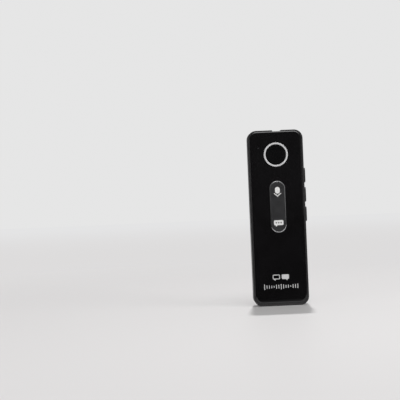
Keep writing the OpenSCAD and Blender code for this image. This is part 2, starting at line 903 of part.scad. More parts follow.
module talk_key_cap() {
    inset = talk_bevel + talk_land;
    color("#4a4a4d") translate([0, 0, talk_z])
        plate(face_y - talk_rise, carrier_front_y - face_y + talk_rise)
            pill(talk_len - 2 * inset, talk_w - 2 * inset);
}

module talk_key_trim() {
    inset = talk_bevel + talk_land - talk_fit;
    depth = carrier_front_y - face_y + talk_rise;
    color("#8c8d90") translate([0, 0, talk_z]) difference() {
        bevelled_pill(face_y - talk_rise, depth, talk_len, talk_w, talk_bevel);
        plate(face_y - talk_rise - eps, depth + 2 * eps) pill(talk_len - 2 * inset, talk_w - 2 * inset);
    }
}

module talk_key_carrier() {
    color("#2a2a2c") translate([0, 0, talk_z]) {
        front_carrier(talk_len, talk_w);
        for (s = [-1, 1])
            rod(0, s * talk_switch_gap / 2, flange_end_y - eps, plunger_tip_y - flange_end_y + eps, post_d);
    }
}

// Dome switch on the board's front: base, steel cover and a hole for the plunger
module dome_switch(z) {
    cap_w = switch_w - 2 * switch_cap_inset;
    difference() {
        union() {
            front_part(0, z, switch_w, switch_w, switch_h - switch_cap_t + eps);
            front_part(0, z, cap_w, cap_w, switch_h);
            for (sx = [-1, 1], sz = [-1, 1])
                front_part(sx * switch_w / 2, z + sz * switch_leg_z, 2 * switch_leg_w, switch_leg_h,
                    switch_leg_t);
        }
        rod(0, z, board_y - switch_h - eps, switch_h - switch_base_t + eps, plunger_d + 2 * plunger_gap);
    }
}

// Plunger of a dome switch: a button with a foot that stays under the steel cover
module dome_plunger(z) {
    rod(0, z, plunger_tip_y, plunger_rise + plunger_foot, plunger_d);
}

module ring_switch() {
    color("#b9b9b4") dome_switch(ring_z);
}

module ring_switch_plunger() {
    color("#d8d4c4") dome_plunger(ring_z);
}

module talk_switches() {
    color("#b9b9b4")
        for (s = [-1, 1]) dome_switch(talk_z + s * talk_switch_gap / 2);
}

module talk_switch_plungers() {
    color("#d8d4c4")
        for (s = [-1, 1]) dome_plunger(talk_z + s * talk_switch_gap / 2);
}

// ---- Side keys ----

module side_key(i) {
    out_x = body_w / 2 + side_rise;
    color("#454547") translate([0, side_y, side_z[i]]) {
        rotate([0, 0, 90])
            bevelled_pill(-out_x, out_x - side_flange_x - side_flange_t / 2, side_len, side_w, side_bevel);
        translate([side_flange_x, 0, 0]) rotate([90, 0, 90])
            linear_extrude(side_flange_t) round_rect(side_w + 2 * side_flange_lip_y,
                side_len + 2 * side_flange_lip_z, side_flange_r);
        translate([side_tip_x, 0, 0]) rotate([0, 90, 0])
            cylinder(h = side_nub_len + side_flange_t / 2, d = side_nub_d);
    }
}

module volume_up_key() {
    side_key(0);
}

module play_key() {
    side_key(1);
}

module volume_down_key() {
    side_key(2);
}

module side_plunger(i) {
    color("#d8d4c4") translate([side_switch_x - side_plunger_foot, side_y, side_z[i]])
        rotate([0, 90, 0]) cylinder(h = side_plunger_rise + side_plunger_foot, d = side_plunger_d);
}

module volume_up_plunger() {
    side_plunger(0);
}

module play_plunger() {
    side_plunger(1);
}

module volume_down_plunger() {
    side_plunger(2);
}

module side_switches() {
    color("#b9b9b4") for (z = side_z) difference() {
        union() {
            span([side_switch_x - side_switch_d, side_y - side_switch_h / 2, z - side_switch_w / 2],
                [side_switch_x - side_cap_t + eps, board_y, z + side_switch_w / 2]);
            span([side_switch_x - side_cap_t, side_y - side_switch_h / 2 + switch_cap_inset,
                    z - side_cap_len / 2],
                [side_switch_x, board_y, z + side_cap_len / 2]);
            for (s = [-1, 1])
                front_part(side_switch_x - side_leg_x, z + s * side_switch_w / 2, side_leg, 2 * side_leg,
                    switch_leg_t);
        }
        translate([side_switch_x - side_switch_hole, side_y, z]) rotate([0, 90, 0])
            cylinder(h = side_switch_hole + eps, d = side_plunger_d + 2 * plunger_gap);
    }
}

// ---- Board and what is on it ----

module main_board() {
    color("#1f4d35") difference() {
        plate(board_y, board_t) difference() {
            translate([0, (board_low_z + board_top_z) / 2])
                round_rect(board_w, board_top_z - board_low_z, board_corner_r);
            translate([-usb_w / 2 - board_usb_gap, 0])
                square([usb_w + 2 * board_usb_gap, usb_end_z + board_usb_gap]);
            translate([mic_x - mic_d / 2 - board_mic_gap, 0])
                square([mic_d + 2 * board_mic_gap, wall + mic_floor_t + mic_len]);
        }
        for (b = bosses)
            rod(b[0], b[1], board_y - eps, board_t + 2 * eps, screw_d + 2 * screw_hole_gap);
    }
}

module board_screws() {
    color("#9a9a9e") for (b = bosses) difference() {
        union() {
            rod(b[0], b[1], board_rear_y - screw_len + screw_end_gap, screw_len - screw_end_gap + eps,
                screw_d);
            rod(b[0], b[1], board_rear_y, screw_head_t, screw_head_d);
        }
        for (a = [0, 90])
            translate([b[0], board_rear_y + screw_head_t, b[1]]) rotate([0, a, 0])
                cube([cross_len, 2 * cross_deep, cross_w], center = true);
    }
}

module radio_chip() {
    color("#1a1a1c") front_part(0, radio_z, radio_chip_w, radio_chip_w, chip_t);
}

// Steel can over the radio chip, open towards the board, with a field of small holes
module radio_shield() {
    color("#c0c2c4") difference() {
        front_part(0, radio_z, shield_w, shield_h, shield_t);
        front_part(0, radio_z, shield_w - 2 * shield_wall, shield_h - 2 * shield_wall,
            shield_t - shield_wall);
        for (i = [-2 : 2], j = [-2 : 2])
            rod(i * shield_hole_pitch, radio_z + j * shield_hole_pitch, board_y - shield_t - eps,
                shield_wall + 2 * eps, shield_hole_d);
    }
}

module power_chip() {
    color("#1a1a1c") front_part(-chip_x, power_chip_z, power_chip_w, power_chip_w, chip_t);
}

module memory_chip() {
    color("#1a1a1c") front_part(chip_x, speaker_rise, memory_chip_w, memory_chip_h, chip_t);
}

module audio_chip() {
    color("#1a1a1c") front_part(chip_x, audio_chip_z, audio_chip_w, audio_chip_w, chip_t);
}

module crystal() {
    color("#c9b26a") front_part(-chip_x, crystal_z, crystal_w, crystal_h, chip_t);
}

module inductors() {
    color("#55565a") for (i = [0, 1])
        front_part(coil_x, coil_z + i * coil_pitch, coil_w, coil_w, coil_t);
}

// Resistors and capacitors in four rows, the last one beside the battery plug
module passives() {
    color("#b08f62") {
        for (i = [-2.5 : 2.5])
            front_part(i * passive_pitch, boss_mid_z, passive_len, passive_w, passive_t);
        for (i = [0 : 4])
            front_part(-passive_edge_x, passive_edge_z + i * passive_pitch,
                passive_w, passive_len, passive_t);
        for (i = [0.5 : 3.5])
            front_part(i * passive_pitch, coil_z, passive_w, passive_len, passive_t);
        for (i = [2 : 5])
            rear_part(-i * passive_pitch, plug_z, passive_w, passive_len, passive_t);
    }
}

module antenna() {
    color("#e6e2d4") front_part(antenna_x, board_top_z - antenna_drop, antenna_w, antenna_h, antenna_t);
}

module status_led() {
    color("#f2f0e6") front_part(-light_x, light_z, led_w, led_len, led_h);
}

module light_pipe() {
    color("#e8eef2") union() {
        rod(-light_x, light_z, face_y, deck_y - face_y + eps, light_d);
        rod(-light_x, light_z, deck_y, light_flange_t, light_flange_d);
        rod(-light_x, light_z, deck_y + light_flange_t - eps,
            standoff - led_h - light_gap - light_flange_t + eps, light_stem_d);
    }
}

module microphone() {
    low_z = wall + mic_floor_t;
    color("#b8babd") union() {
        translate([mic_x, usb_y, low_z]) difference() {
            cylinder(h = mic_len, d = mic_d);
            translate([0, 0, -eps]) cylinder(h = mic_port_t, d = mic_hole_d);
        }
        for (s = [-1, 1])
            translate([mic_x + s * mic_pin_x, board_rear_y + mic_pin_d / 2, low_z + mic_len - eps])
                cylinder(h = mic_pin_len, d = mic_pin_d);
    }
}

module microphone_boot() {
    color("#2b2b2b") translate([mic_x, usb_y, wall]) difference() {
        cylinder(h = mic_floor_t + mic_len - mic_boot_step, d = mic_d + 2 * mic_boot_t);
        translate([0, 0, mic_floor_t]) cylinder(h = mic_len, d = mic_d);
        translate([0, 0, -eps]) cylinder(h = mic_floor_t + 2 * eps, d = mic_hole_d + 2 * mic_boot_gap);
    }
}

// ---- Charging socket ----

module usb_outline(inset) {
    rotate(90) pill(usb_w - 2 * inset, usb_h - 2 * inset);
}

module usb_shell() {
    color("#b4b6b9") union() {
        translate([0, usb_y, usb_inset]) linear_extrude(usb_len) difference() {
            usb_outline(0);
            usb_outline(usb_wall);
        }
        for (m = [0, 1], z = usb_tab_z)
            mirror([m, 0, 0])
                span([usb_w / 2 - usb_wall / 2, board_rear_y, usb_inset + z],
                    [usb_w / 2 + usb_tab_reach, board_rear_y + usb_tab_t, usb_inset + z + usb_tab_w]);
    }
}

module usb_tongue() {
    color("#161618") translate([0, usb_y, 0]) union() {
        translate([0, 0, usb_end_z - tongue_root]) linear_extrude(tongue_root) usb_outline(usb_wall);
        span([-tongue_w / 2, -tongue_t / 2, usb_inset + tongue_inset],
            [tongue_w / 2, tongue_t / 2, usb_end_z - tongue_root + eps]);
    }
}

module usb_contacts() {
    mid_z = usb_inset + contact_inset + contact_len / 2;
    color("#d0a94e") translate([0, usb_y, mid_z]) for (i = [0 : contact_count - 1], s = [-1, 1])
        translate([(i - (contact_count - 1) / 2) * contact_pitch, s * (tongue_t + contact_t) / 2, 0])
            cube([contact_w, contact_t, contact_len], center = true);
}

// ---- Battery ----

// Pouch cell with a flap of foil at its upper end, where the guard board sits
module battery_cell() {
    color("#aeb4ba") union() {
        translate([0, cell_y, cell_low_z]) linear_extrude(cell_top_z - cell_low_z)
            slab_section(cell_w, cell_t, cell_edge_r, cell_edge_r);
        span([-cell_w / 2 + flap_inset, cell_y, cell_top_z - eps],
            [cell_w / 2 - flap_inset, cell_y + flap_t, cell_top_z + guard_len]);
    }
}

module battery_guard() {
    color("#c98a2b") span([-cell_w / 2 + guard_inset, cell_y + flap_t, cell_top_z],
        [cell_w / 2 - guard_inset, cell_y + flap_t + guard_t, cell_top_z + guard_len]);
}

module battery_tape() {
    color("#f0efe9") span([-cell_w / 2 + cell_tape_inset, board_rear_y, cell_low_z + cell_tape_end],
        [cell_w / 2 - cell_tape_inset, cell_y, cell_top_z - cell_tape_end]);
}

module battery_foam() {
    color("#333333") span([-foam_w / 2, cell_y + cell_t, cell_low_z + foam_end],
        [foam_w / 2, inner_back_y, cell_top_z - foam_end]);
}

module battery_leads() {
    start_y = cell_y + flap_t + guard_t / 2;
    end_y = board_rear_y + plug_t / 2;
    low_z = cell_top_z + guard_len;
    high_z = plug_z - plug_len / 2;
    color("#b3261e") for (s = [-1, 1])
        lead([
            [s * lead_spread, start_y, low_z], [s * lead_spread, start_y, low_z + lead_bend],
            [s * lead_pitch / 2, end_y, high_z - lead_bend], [s * lead_pitch / 2, end_y, high_z]
        ], lead_d);
}

module battery_plug() {
    color("#efece2") difference() {
        rear_part(0, plug_z, plug_w, plug_len, plug_t);
        for (s = [-1, 1])
            span([(s * lead_pitch - plug_slot_w) / 2, board_rear_y + plug_t - plug_slot_d,
                    plug_z + plug_slot_z[0]],
                [(s * lead_pitch + plug_slot_w) / 2, board_rear_y + plug_t + over,
                    plug_z + plug_slot_z[1]]);
    }
}

// ---- Speaker ----

module speaker_basket() {
    low_y = board_rear_y + magnet_t;
    color("#2e2e30") translate([0, 0, speaker_rise]) difference() {
        rod(0, 0, low_y, speaker_t - magnet_t, speaker_d);
        rod(0, 0, low_y + basket_wall, speaker_t, speaker_d - 2 * basket_wall);
        for (a = [0 : 60 : 300])
            rotate([0, a, 0]) rod(basket_hole_x, 0, low_y - eps, basket_wall + 2 * eps, basket_hole_d);
    }
}

module speaker_magnet() {
    color("#8f9296") translate([0, 0, speaker_rise]) rod(0, 0, board_rear_y, magnet_t, magnet_d);
}

// Thin cone with a rolled edge and a domed middle, turned from one section
module speaker_cone() {
    rim_r = speaker_d / 2 - basket_wall;
    roll_r = cone_d / 2 - surround_w;
    edge_r = cone_d / 2 - cone_fall;
    front = speaker_t - cone_t;
    floor_h = magnet_t + basket_wall;
    color("#48484b") translate([0, board_rear_y, speaker_rise]) rotate([-90, 0, 0]) rotate_extrude()
        polygon([
            [0, floor_h + dome_rise], [dome_d / 2, floor_h], [dome_d / 2 + dome_flat, floor_h],
            [edge_r, front - 1.5 * cone_t], [roll_r, front - 0.5 * cone_t], [rim_r, front - 1.5 * cone_t],
            [rim_r, front - 0.5 * cone_t], [roll_r, front + 0.5 * cone_t], [edge_r, front - 0.5 * cone_t],
            [dome_d / 2 + dome_flat, floor_h + cone_t], [dome_d / 2, floor_h + cone_t],
            [0, floor_h + dome_rise + cone_t]
        ]);
}

module speaker_gasket() {
    gasket_y = board_rear_y + speaker_t;
    color("#242424") translate([0, 0, speaker_rise]) difference() {
        rod(0, 0, gasket_y, inner_back_y - mesh_t - gasket_y, speaker_d);
        rod(0, 0, gasket_y - eps, cover_d, speaker_d - 2 * gasket_w);
    }
}

module speaker_mesh() {
    color("#1c1c1c") rod(0, speaker_rise, inner_back_y - mesh_t, mesh_t, speaker_d);
}

module speaker_grille() {
    rows = floor(window_d / 2 / grille_pitch) + 1;
    color("#5a5a5d") difference() {
        rod(0, speaker_rise, back_y - grille_recess, grille_t, grille_d);
        for (i = [-rows : rows], j = [-rows : rows]) {
            x = (i + j / 2) * grille_pitch;
            z = j * grille_pitch * sqrt(3) / 2;
            if (norm([x, z]) < window_d / 2 - grille_hole_d / 2 - grille_edge)
                rod(x, speaker_rise + z, back_y - grille_recess - eps, grille_t + 2 * eps, grille_hole_d);
        }
    }
}

// Two leads from solder tabs behind the basket down to pads on the board
module speaker_leads() {
    high_y = board_rear_y + magnet_t - lead_d / 2;
    low_y = board_rear_y + lead_d / 2;
    rim_z = speaker_rise - speaker_d / 2;
    color("#b3261e") for (i = [0, 1]) {
        x = -0.8 - speaker_lead_pitch * i;
        lead([
            [x, high_y, rim_z + 1.2], [x, high_y, rim_z - 1.2],
            [x - 2.6, low_y, rim_z - 1], [x - 3.4, low_y, rim_z - 3.8]
        ], lead_d);
    }
}

// ---- Lanyard ----

module lanyard_bar() {
    color("#d6d7da") translate([notch_x, bar_y, bar_z]) rotate([0, 90, 0])
        cylinder(h = notch_w + 2 * bar_seat - 2 * bar_end_gap, d = bar_d, center = true);
}

front_housing();
rear_cover();
front_panel();
panel_tape();
ring_trim();
ring_key_cap();
ring_key_carrier();
ring_switch();
ring_switch_plunger();
talk_key_cap();
talk_key_trim();
talk_key_carrier();
talk_switches();
talk_switch_plungers();
volume_up_key();
play_key();
volume_down_key();
volume_up_plunger();
play_plunger();
volume_down_plunger();
side_switches();
main_board();
board_screws();
radio_chip();
radio_shield();
power_chip();
memory_chip();
audio_chip();
crystal();
inductors();
passives();
antenna();
status_led();
light_pipe();
microphone();
microphone_boot();
usb_shell();
usb_tongue();
usb_contacts();
battery_cell();
battery_guard();
battery_tape();
battery_foam();
battery_leads();
battery_plug();
speaker_basket();
speaker_magnet();
speaker_cone();
speaker_gasket();
speaker_mesh();
speaker_grille();
speaker_leads();
lanyard_bar();
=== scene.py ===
"""Looks of a handheld voice translator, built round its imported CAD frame.

Lengths are given in millimetres and the meshes are in metres. The front faces -Y and +Z is up.
"""

import json
import logging
import math
from collections.abc import Iterable, Sequence
from dataclasses import dataclass
from enum import Enum

import bmesh
import bpy
from mathutils import Matrix, Vector

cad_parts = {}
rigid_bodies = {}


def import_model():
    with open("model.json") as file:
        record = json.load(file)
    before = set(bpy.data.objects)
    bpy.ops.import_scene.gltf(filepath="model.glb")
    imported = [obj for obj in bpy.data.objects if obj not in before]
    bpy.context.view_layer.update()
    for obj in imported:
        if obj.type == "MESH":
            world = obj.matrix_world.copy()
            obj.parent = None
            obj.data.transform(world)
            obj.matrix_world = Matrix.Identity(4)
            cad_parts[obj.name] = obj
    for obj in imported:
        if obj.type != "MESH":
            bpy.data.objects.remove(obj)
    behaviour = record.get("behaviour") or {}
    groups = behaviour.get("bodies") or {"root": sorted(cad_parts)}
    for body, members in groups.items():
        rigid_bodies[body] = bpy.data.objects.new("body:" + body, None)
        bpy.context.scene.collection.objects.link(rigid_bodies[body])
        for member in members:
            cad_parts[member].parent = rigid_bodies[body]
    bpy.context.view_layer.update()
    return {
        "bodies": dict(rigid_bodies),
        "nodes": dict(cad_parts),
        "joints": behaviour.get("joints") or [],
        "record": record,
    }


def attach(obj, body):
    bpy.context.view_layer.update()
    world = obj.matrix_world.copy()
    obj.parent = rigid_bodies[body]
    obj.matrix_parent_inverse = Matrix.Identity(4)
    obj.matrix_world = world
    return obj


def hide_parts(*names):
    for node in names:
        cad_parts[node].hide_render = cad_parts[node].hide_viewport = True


MM = 0.001
QUARTER = math.pi / 2
FRONT = Vector((0, -1, 0))
RIGHT = Vector((1, 0, 0))

# Driving sizes and places, as in the CAD frame
HALF_W = 16.5
BODY_H = 105.0
RING_Z = 90.4
RING_OD = 14.4
TALK_Z = 59.3
TALK_W = 9.2
TALK_LEN = 30.8
SPEAKER_Z = 24.0

# Points nearer than this are one point, in metres
WELD = 1e-6
# How far behind a face its edges are still looked for
NEAR = 0.01
# How far the face of a bubble's tail lies behind the bubble's own
TAIL_STEP = 0.002
# Turn of the surface from which the shading breaks
SHARP_DEG = 34
# Values between which cloudy noise mostly lies, and its middle part
NOISE_RANGE = (0.3, 0.7)
NOISE_CORE = (0.35, 0.65)

Socket = bpy.types.NodeSocket
Colour = tuple[float, float, float]
Place = tuple[float, float, float]
Point = tuple[float, float]
Span = tuple[float, float]
Section = Sequence[Point]

log = logging.getLogger("translator")


def placed(name: str, data: bpy.types.ID) -> bpy.types.Object:
    """Adds an object with this data to the scene."""
    made = bpy.data.objects.new(name, data)
    bpy.context.scene.collection.objects.link(made)
    return made


# ---- Finishes ----


class Grain(Enum):
    """What the small relief of a surface looks like."""

    MOULDED = "spark-eroded plastic"
    BRUSHED = "long fine scratches"
    TURNED = "rings left by a lathe"
    WOVEN = "crossed threads"
    CELLS = "packed round cells"
    CREASED = "soft folds in foil"


class Graph:
    """A node tree, with short ways to add nodes to it."""

    def __init__(self, tree: bpy.types.NodeTree) -> None:
        """Takes the tree that nodes are added to."""
        self.tree = tree

    def node(self, kind: str, **settings: object) -> bpy.types.Node:
        """Adds a node.

        Args:
            kind: Blender's name for the type of node.
            settings: Properties of the node.

        Returns:
            The new node.
        """
        made = self.tree.nodes.new(kind)
        for key, value in settings.items():
            setattr(made, key, value)
        return made

    def feed(self, target: Socket, value: object) -> None:
        """Links a socket to an input, or sets the input where a plain value is given."""
        if isinstance(value, Socket):
            self.tree.links.new(value, target)
        else:
            target.default_value = value

    def spans(self, value: Socket, low: float, high: float, out_low: float, out_high: float) -> Socket:
        """Maps a value from one range smoothly to another, held at both ends.

        Args:
            value: The value.
            low: Start of its range.
            high: End of its range.
            out_low: What the start becomes.
            out_high: What the end becomes.

        Returns:
            The mapped value.
        """
        made = self.node("ShaderNodeMapRange", interpolation_type="SMOOTHSTEP")
        self.feed(made.inputs["Value"], value)
        ends = {"From Min": low, "From Max": high, "To Min": out_low, "To Max": out_high}
        for key, number in ends.items():
            made.inputs[key].default_value = number
        return made.outputs["Result"]

    def calc(self, kind: str, a: object, b: object = 0.0) -> Socket:
        """Does arithmetic on two values.

        Args:
            kind: Blender's name of the operation.
            a: First value.
            b: Second value.

        Returns:
            The result.
        """
        made = self.node("ShaderNodeMath", operation=kind)
        self.feed(made.inputs[0], a)
        self.feed(made.inputs[1], b)
        return made.outputs[0]


class Wiring(Graph):
    """A material's node tree, with short ways to add what a finish needs."""

    def __init__(self, name: str) -> None:
        """Starts a material of this name that holds one plain shader."""
        self.material = bpy.data.materials.new(name)
        self.material.use_nodes = True
        super().__init__(self.material.node_tree)
        self.shader = self.tree.nodes["Principled BSDF"]
        self.place = self.node("ShaderNodeTexCoord").outputs["Object"]

    def texture(self, kind: str, size_mm: float | Place, turn: Place = (0, 0, 0),
                **settings: object) -> bpy.types.Node:
        """Adds a texture that lies fixed on the object.

        Args:
            kind: End of Blender's name for the texture.
            size_mm: Length of its unit, the same or different along each axis.
            turn: How far it is turned about each axis.
            settings: Properties of the texture.

        Returns:
            The texture's node.
        """
        size = (size_mm,) * 3 if isinstance(size_mm, (int, float)) else size_mm
        made, mapping = self.node(f"ShaderNodeTex{kind}", **settings), self.node("ShaderNodeMapping")
        self.feed(mapping.inputs["Vector"], self.place)
        self.feed(mapping.inputs["Rotation"], turn)
        self.feed(mapping.inputs["Scale"], [1 / (s * MM) for s in size])
        self.feed(made.inputs["Vector"], mapping.outputs["Vector"])
        self.feed(made.inputs["Scale"], 1.0)
        return made

    def noise(self, size_mm: float | Place, detail: float = 2.0, rough: float = 0.5) -> Socket:
        """Adds cloudy noise.

        Args:
            size_mm: Size of a patch, the same or different along each axis.
            detail: Number of finer layers.
            rough: Weight of the finer layers.

        Returns:
            A value round 0.5.
        """
        made = self.texture("Noise", size_mm)
        made.inputs["Detail"].default_value = detail
        made.inputs["Roughness"].default_value = rough
        return made.outputs["Fac"]

    def blended(self, share: Socket, a: object, b: object) -> Socket:
        """Mixes two colours.

        Args:
            share: How much of the second colour there is.
            a: First colour.
            b: Second colour.

        Returns:
            The mixed colour.
        """
        made = self.node("ShaderNodeMix", data_type="RGBA")
        self.feed(made.inputs["Factor"], share)
        for key, colour in (("A", a), ("B", b)):
            socket = [s for s in made.inputs if s.name == key and s.type == "RGBA"][0]
            self.feed(socket, colour if isinstance(colour, Socket) else (*colour, 1.0))
        return [s for s in made.outputs if s.type == "RGBA"][0]

    def apart(self) -> tuple[Socket, ...]:
        """Gives the place on the object as three values in metres."""
        made = self.node("ShaderNodeSeparateXYZ")
        self.feed(made.inputs[0], self.place)
        return tuple(made.outputs)

    def relief(self, height: Socket, depth_mm: float) -> Socket:
        """Turns a height from 0 to 1 into a tilt of the surface.

        Args:
            height: The height.
            depth_mm: How deep a height of 1 is.

        Returns:
            The tilted normal.
        """
        made = self.node("ShaderNodeBump")
        made.inputs["Strength"].default_value = 1.0
        made.inputs["Distance"].default_value = depth_mm * MM
        self.feed(made.inputs["Height"], height)
        return made.outputs["Normal"]


@dataclass(frozen=True)
class Finish:
    """One material: a colour with soft variation, and a roughness and relief with grain."""

    name: str
    base: Colour
    rough: float
    metal: float = 0.0
    specular: float = 0.5
    tone: float = 0.12
    tone_mm: float = 9.0
    rough_play: float = 0.06
    grain: Grain = Grain.MOULDED
    grain_mm: float = 0.14
    depth_mm: float = 0.006
    along: Vector = Vector((0, 0, 1))
    centre_mm: Place = (0.0, 0.0, 0.0)
    patch_share: float = 0.65
    speck_grains: float = 2.5
    drift_share: float = 0.6
    scratch_stretch: float = 60.0
    fold_stretch: float = 3.0
    ripple_share: float = 0.8

    def colour(self, wiring: Wiring) -> Socket:
        """Gives the base colour, darker and lighter in soft patches."""
        darker = tuple(c * (1 - self.tone) for c in self.base)
        lighter = tuple(c * (1 + self.tone) for c in self.base)
        patches = wiring.spans(wiring.noise(self.tone_mm, 3.0, 0.55), *NOISE_RANGE, 0.0, 1.0)
        specks = wiring.spans(wiring.noise(self.grain_mm * self.speck_grains, 1.0), *NOISE_CORE, 0.0, 1.0)
        share = wiring.calc("ADD", wiring.calc("MULTIPLY", patches, self.patch_share),
                            wiring.calc("MULTIPLY", specks, 1 - self.patch_share))
        return wiring.blended(share, darker, lighter)

    def roughness(self, wiring: Wiring) -> Socket:
        """Gives the roughness, which drifts a little over the surface."""
        drift = wiring.noise(self.tone_mm * self.drift_share, 4.0, 0.6)
        return wiring.spans(drift, *NOISE_RANGE, self.rough - self.rough_play, self.rough + self.rough_play)

    def height(self, wiring: Wiring) -> Socket:
        """Gives the height of the grain, from 0 to 1."""
        size = self.grain_mm
        if self.grain is Grain.BRUSHED:
            stretched = tuple(size * (self.scratch_stretch if a else 1.0) for a in self.along)
            return wiring.noise(stretched, 3.0, 0.6)
        if self.grain is Grain.CELLS:
            return wiring.texture("Voronoi", size).outputs["Distance"]
        if self.grain is Grain.CREASED:
            return wiring.noise((size * self.fold_stretch, size * self.fold_stretch, size), 2.0, 0.4)
        if self.grain is Grain.WOVEN:
            x, _, z = wiring.apart()
            turns = math.pi / (size * MM)
            threads = [wiring.calc("ABSOLUTE", wiring.calc("SINE", wiring.calc("MULTIPLY", v, turns)))
                       for v in (x, z)]
            return wiring.calc("MULTIPLY", *threads)
        if self.grain is Grain.TURNED:
            x, _, z = wiring.apart()
            across = wiring.calc("SUBTRACT", x, self.centre_mm[0] * MM)
            up = wiring.calc("SUBTRACT", z, self.centre_mm[2] * MM)
            squares = [wiring.calc("MULTIPLY", v, v) for v in (across, up)]
            turn = wiring.calc("MULTIPLY", wiring.calc("SQRT", wiring.calc("ADD", *squares)),
                               math.tau / (size * MM))
            ripple = wiring.calc("MULTIPLY", wiring.calc("ADD", wiring.calc("SINE", turn), 1.0),
                                 self.ripple_share / 2)
            patches = wiring.calc("MULTIPLY", wiring.noise(size * 1.5), 1 - self.ripple_share)
            return wiring.calc("ADD", ripple, patches)
        return wiring.noise(size, 2.0, 0.6)

    def material(self) -> bpy.types.Material:
        """Builds the material, or gives it back where it was built before."""
        known = bpy.data.materials.get(self.name)
        if known is not None:
            return known
        wiring = Wiring(self.name)
        inputs = wiring.shader.inputs
        inputs["Metallic"].default_value = self.metal
        inputs["Specular IOR Level"].default_value = self.specular
        wiring.feed(inputs["Base Color"], self.colour(wiring))
        wiring.feed(inputs["Roughness"], self.roughness(wiring))
        wiring.feed(inputs["Normal"], wiring.relief(self.height(wiring), self.depth_mm))
        return wiring.material


@dataclass(frozen=True)
class HandledShell(Finish):
    """Satin moulded casing, polished a little along the edges where a hand holds it."""

    polish: float = 0.09
    reach_mm: float = 2.4
    worn_mm: float = 5.0

    def edges(self, wiring: Wiring) -> Socket:
        """Gives 1 at the long edges and ends and 0 on the flats."""
        x, _, z = wiring.apart()
        half_h = BODY_H / 2
        up = wiring.calc("SUBTRACT", z, half_h * MM)
        shares = []
        for value, half in ((x, HALF_W), (up, half_h)):
            off = wiring.calc("ABSOLUTE", value)
            shares.append(wiring.spans(off, (half - self.reach_mm) * MM, half * MM, 0.0, 1.0))
        return wiring.calc("MAXIMUM", *shares)

    def roughness(self, wiring: Wiring) -> Socket:
        """Gives the drifting roughness, lower along the edges in uneven patches."""
        patches = wiring.spans(wiring.noise(self.worn_mm, 4.0), *NOISE_CORE, 0.0, self.polish)
        worn = wiring.calc("MULTIPLY", self.edges(wiring), patches)
        return wiring.calc("SUBTRACT", super().roughness(wiring), worn)


@dataclass(frozen=True)
class GlossLacquer(Finish):
    """Black glossy front with faint wipe marks that show only in a reflection."""

    smear: float = 0.05
    wipe_mm: Place = (7.0, 7.0, 22.0)
    wipe_span: Span = (0.52, 0.68)
    spot_mm: float = 1.6
    spot_span: Span = (0.62, 0.72)
    spot_share: float = 0.6

    def roughness(self, wiring: Wiring) -> Socket:
        """Gives a low roughness with wide, slanting wipe marks."""
        wipes = wiring.spans(wiring.noise(self.wipe_mm, 3.0, 0.6), *self.wipe_span, 0.0, self.smear)
        spots = wiring.spans(wiring.noise(self.spot_mm), *self.spot_span, 0.0, self.smear * self.spot_share)
        return wiring.calc("ADD", wiring.calc("ADD", wipes, spots), self.rough)


@dataclass(frozen=True)
class SolderMask(Finish):
    """Green circuit board with copper tracks under the mask and a scatter of tinned holes."""

    track: Colour = (0.03, 0.20, 0.085)
    hole: Colour = (0.62, 0.60, 0.56)
    track_mm: float = 1.9
    hole_mm: Place = (2.6, 40.0, 2.6)
    hole_span: Span = (0.08, 0.1)

    def colour(self, wiring: Wiring) -> Socket:
        """Gives the mask's colour with lighter tracks and tinned dots."""
        bricks = wiring.texture("Brick", self.track_mm, (QUARTER, 0, 0), offset=0.37, squash=0.6,
                                squash_frequency=3)
        shape = {"Mortar Size": 0.055, "Brick Width": 1.7, "Row Height": 0.42}
        for key, number in shape.items():
            bricks.inputs[key].default_value = number
        dots = wiring.texture("Voronoi", self.hole_mm)
        tinned = wiring.spans(dots.outputs["Distance"], *self.hole_span, 1.0, 0.0)
        plain = wiring.blended(bricks.outputs["Fac"], self.base, self.track)
        return wiring.blended(tinned, plain, self.hole)


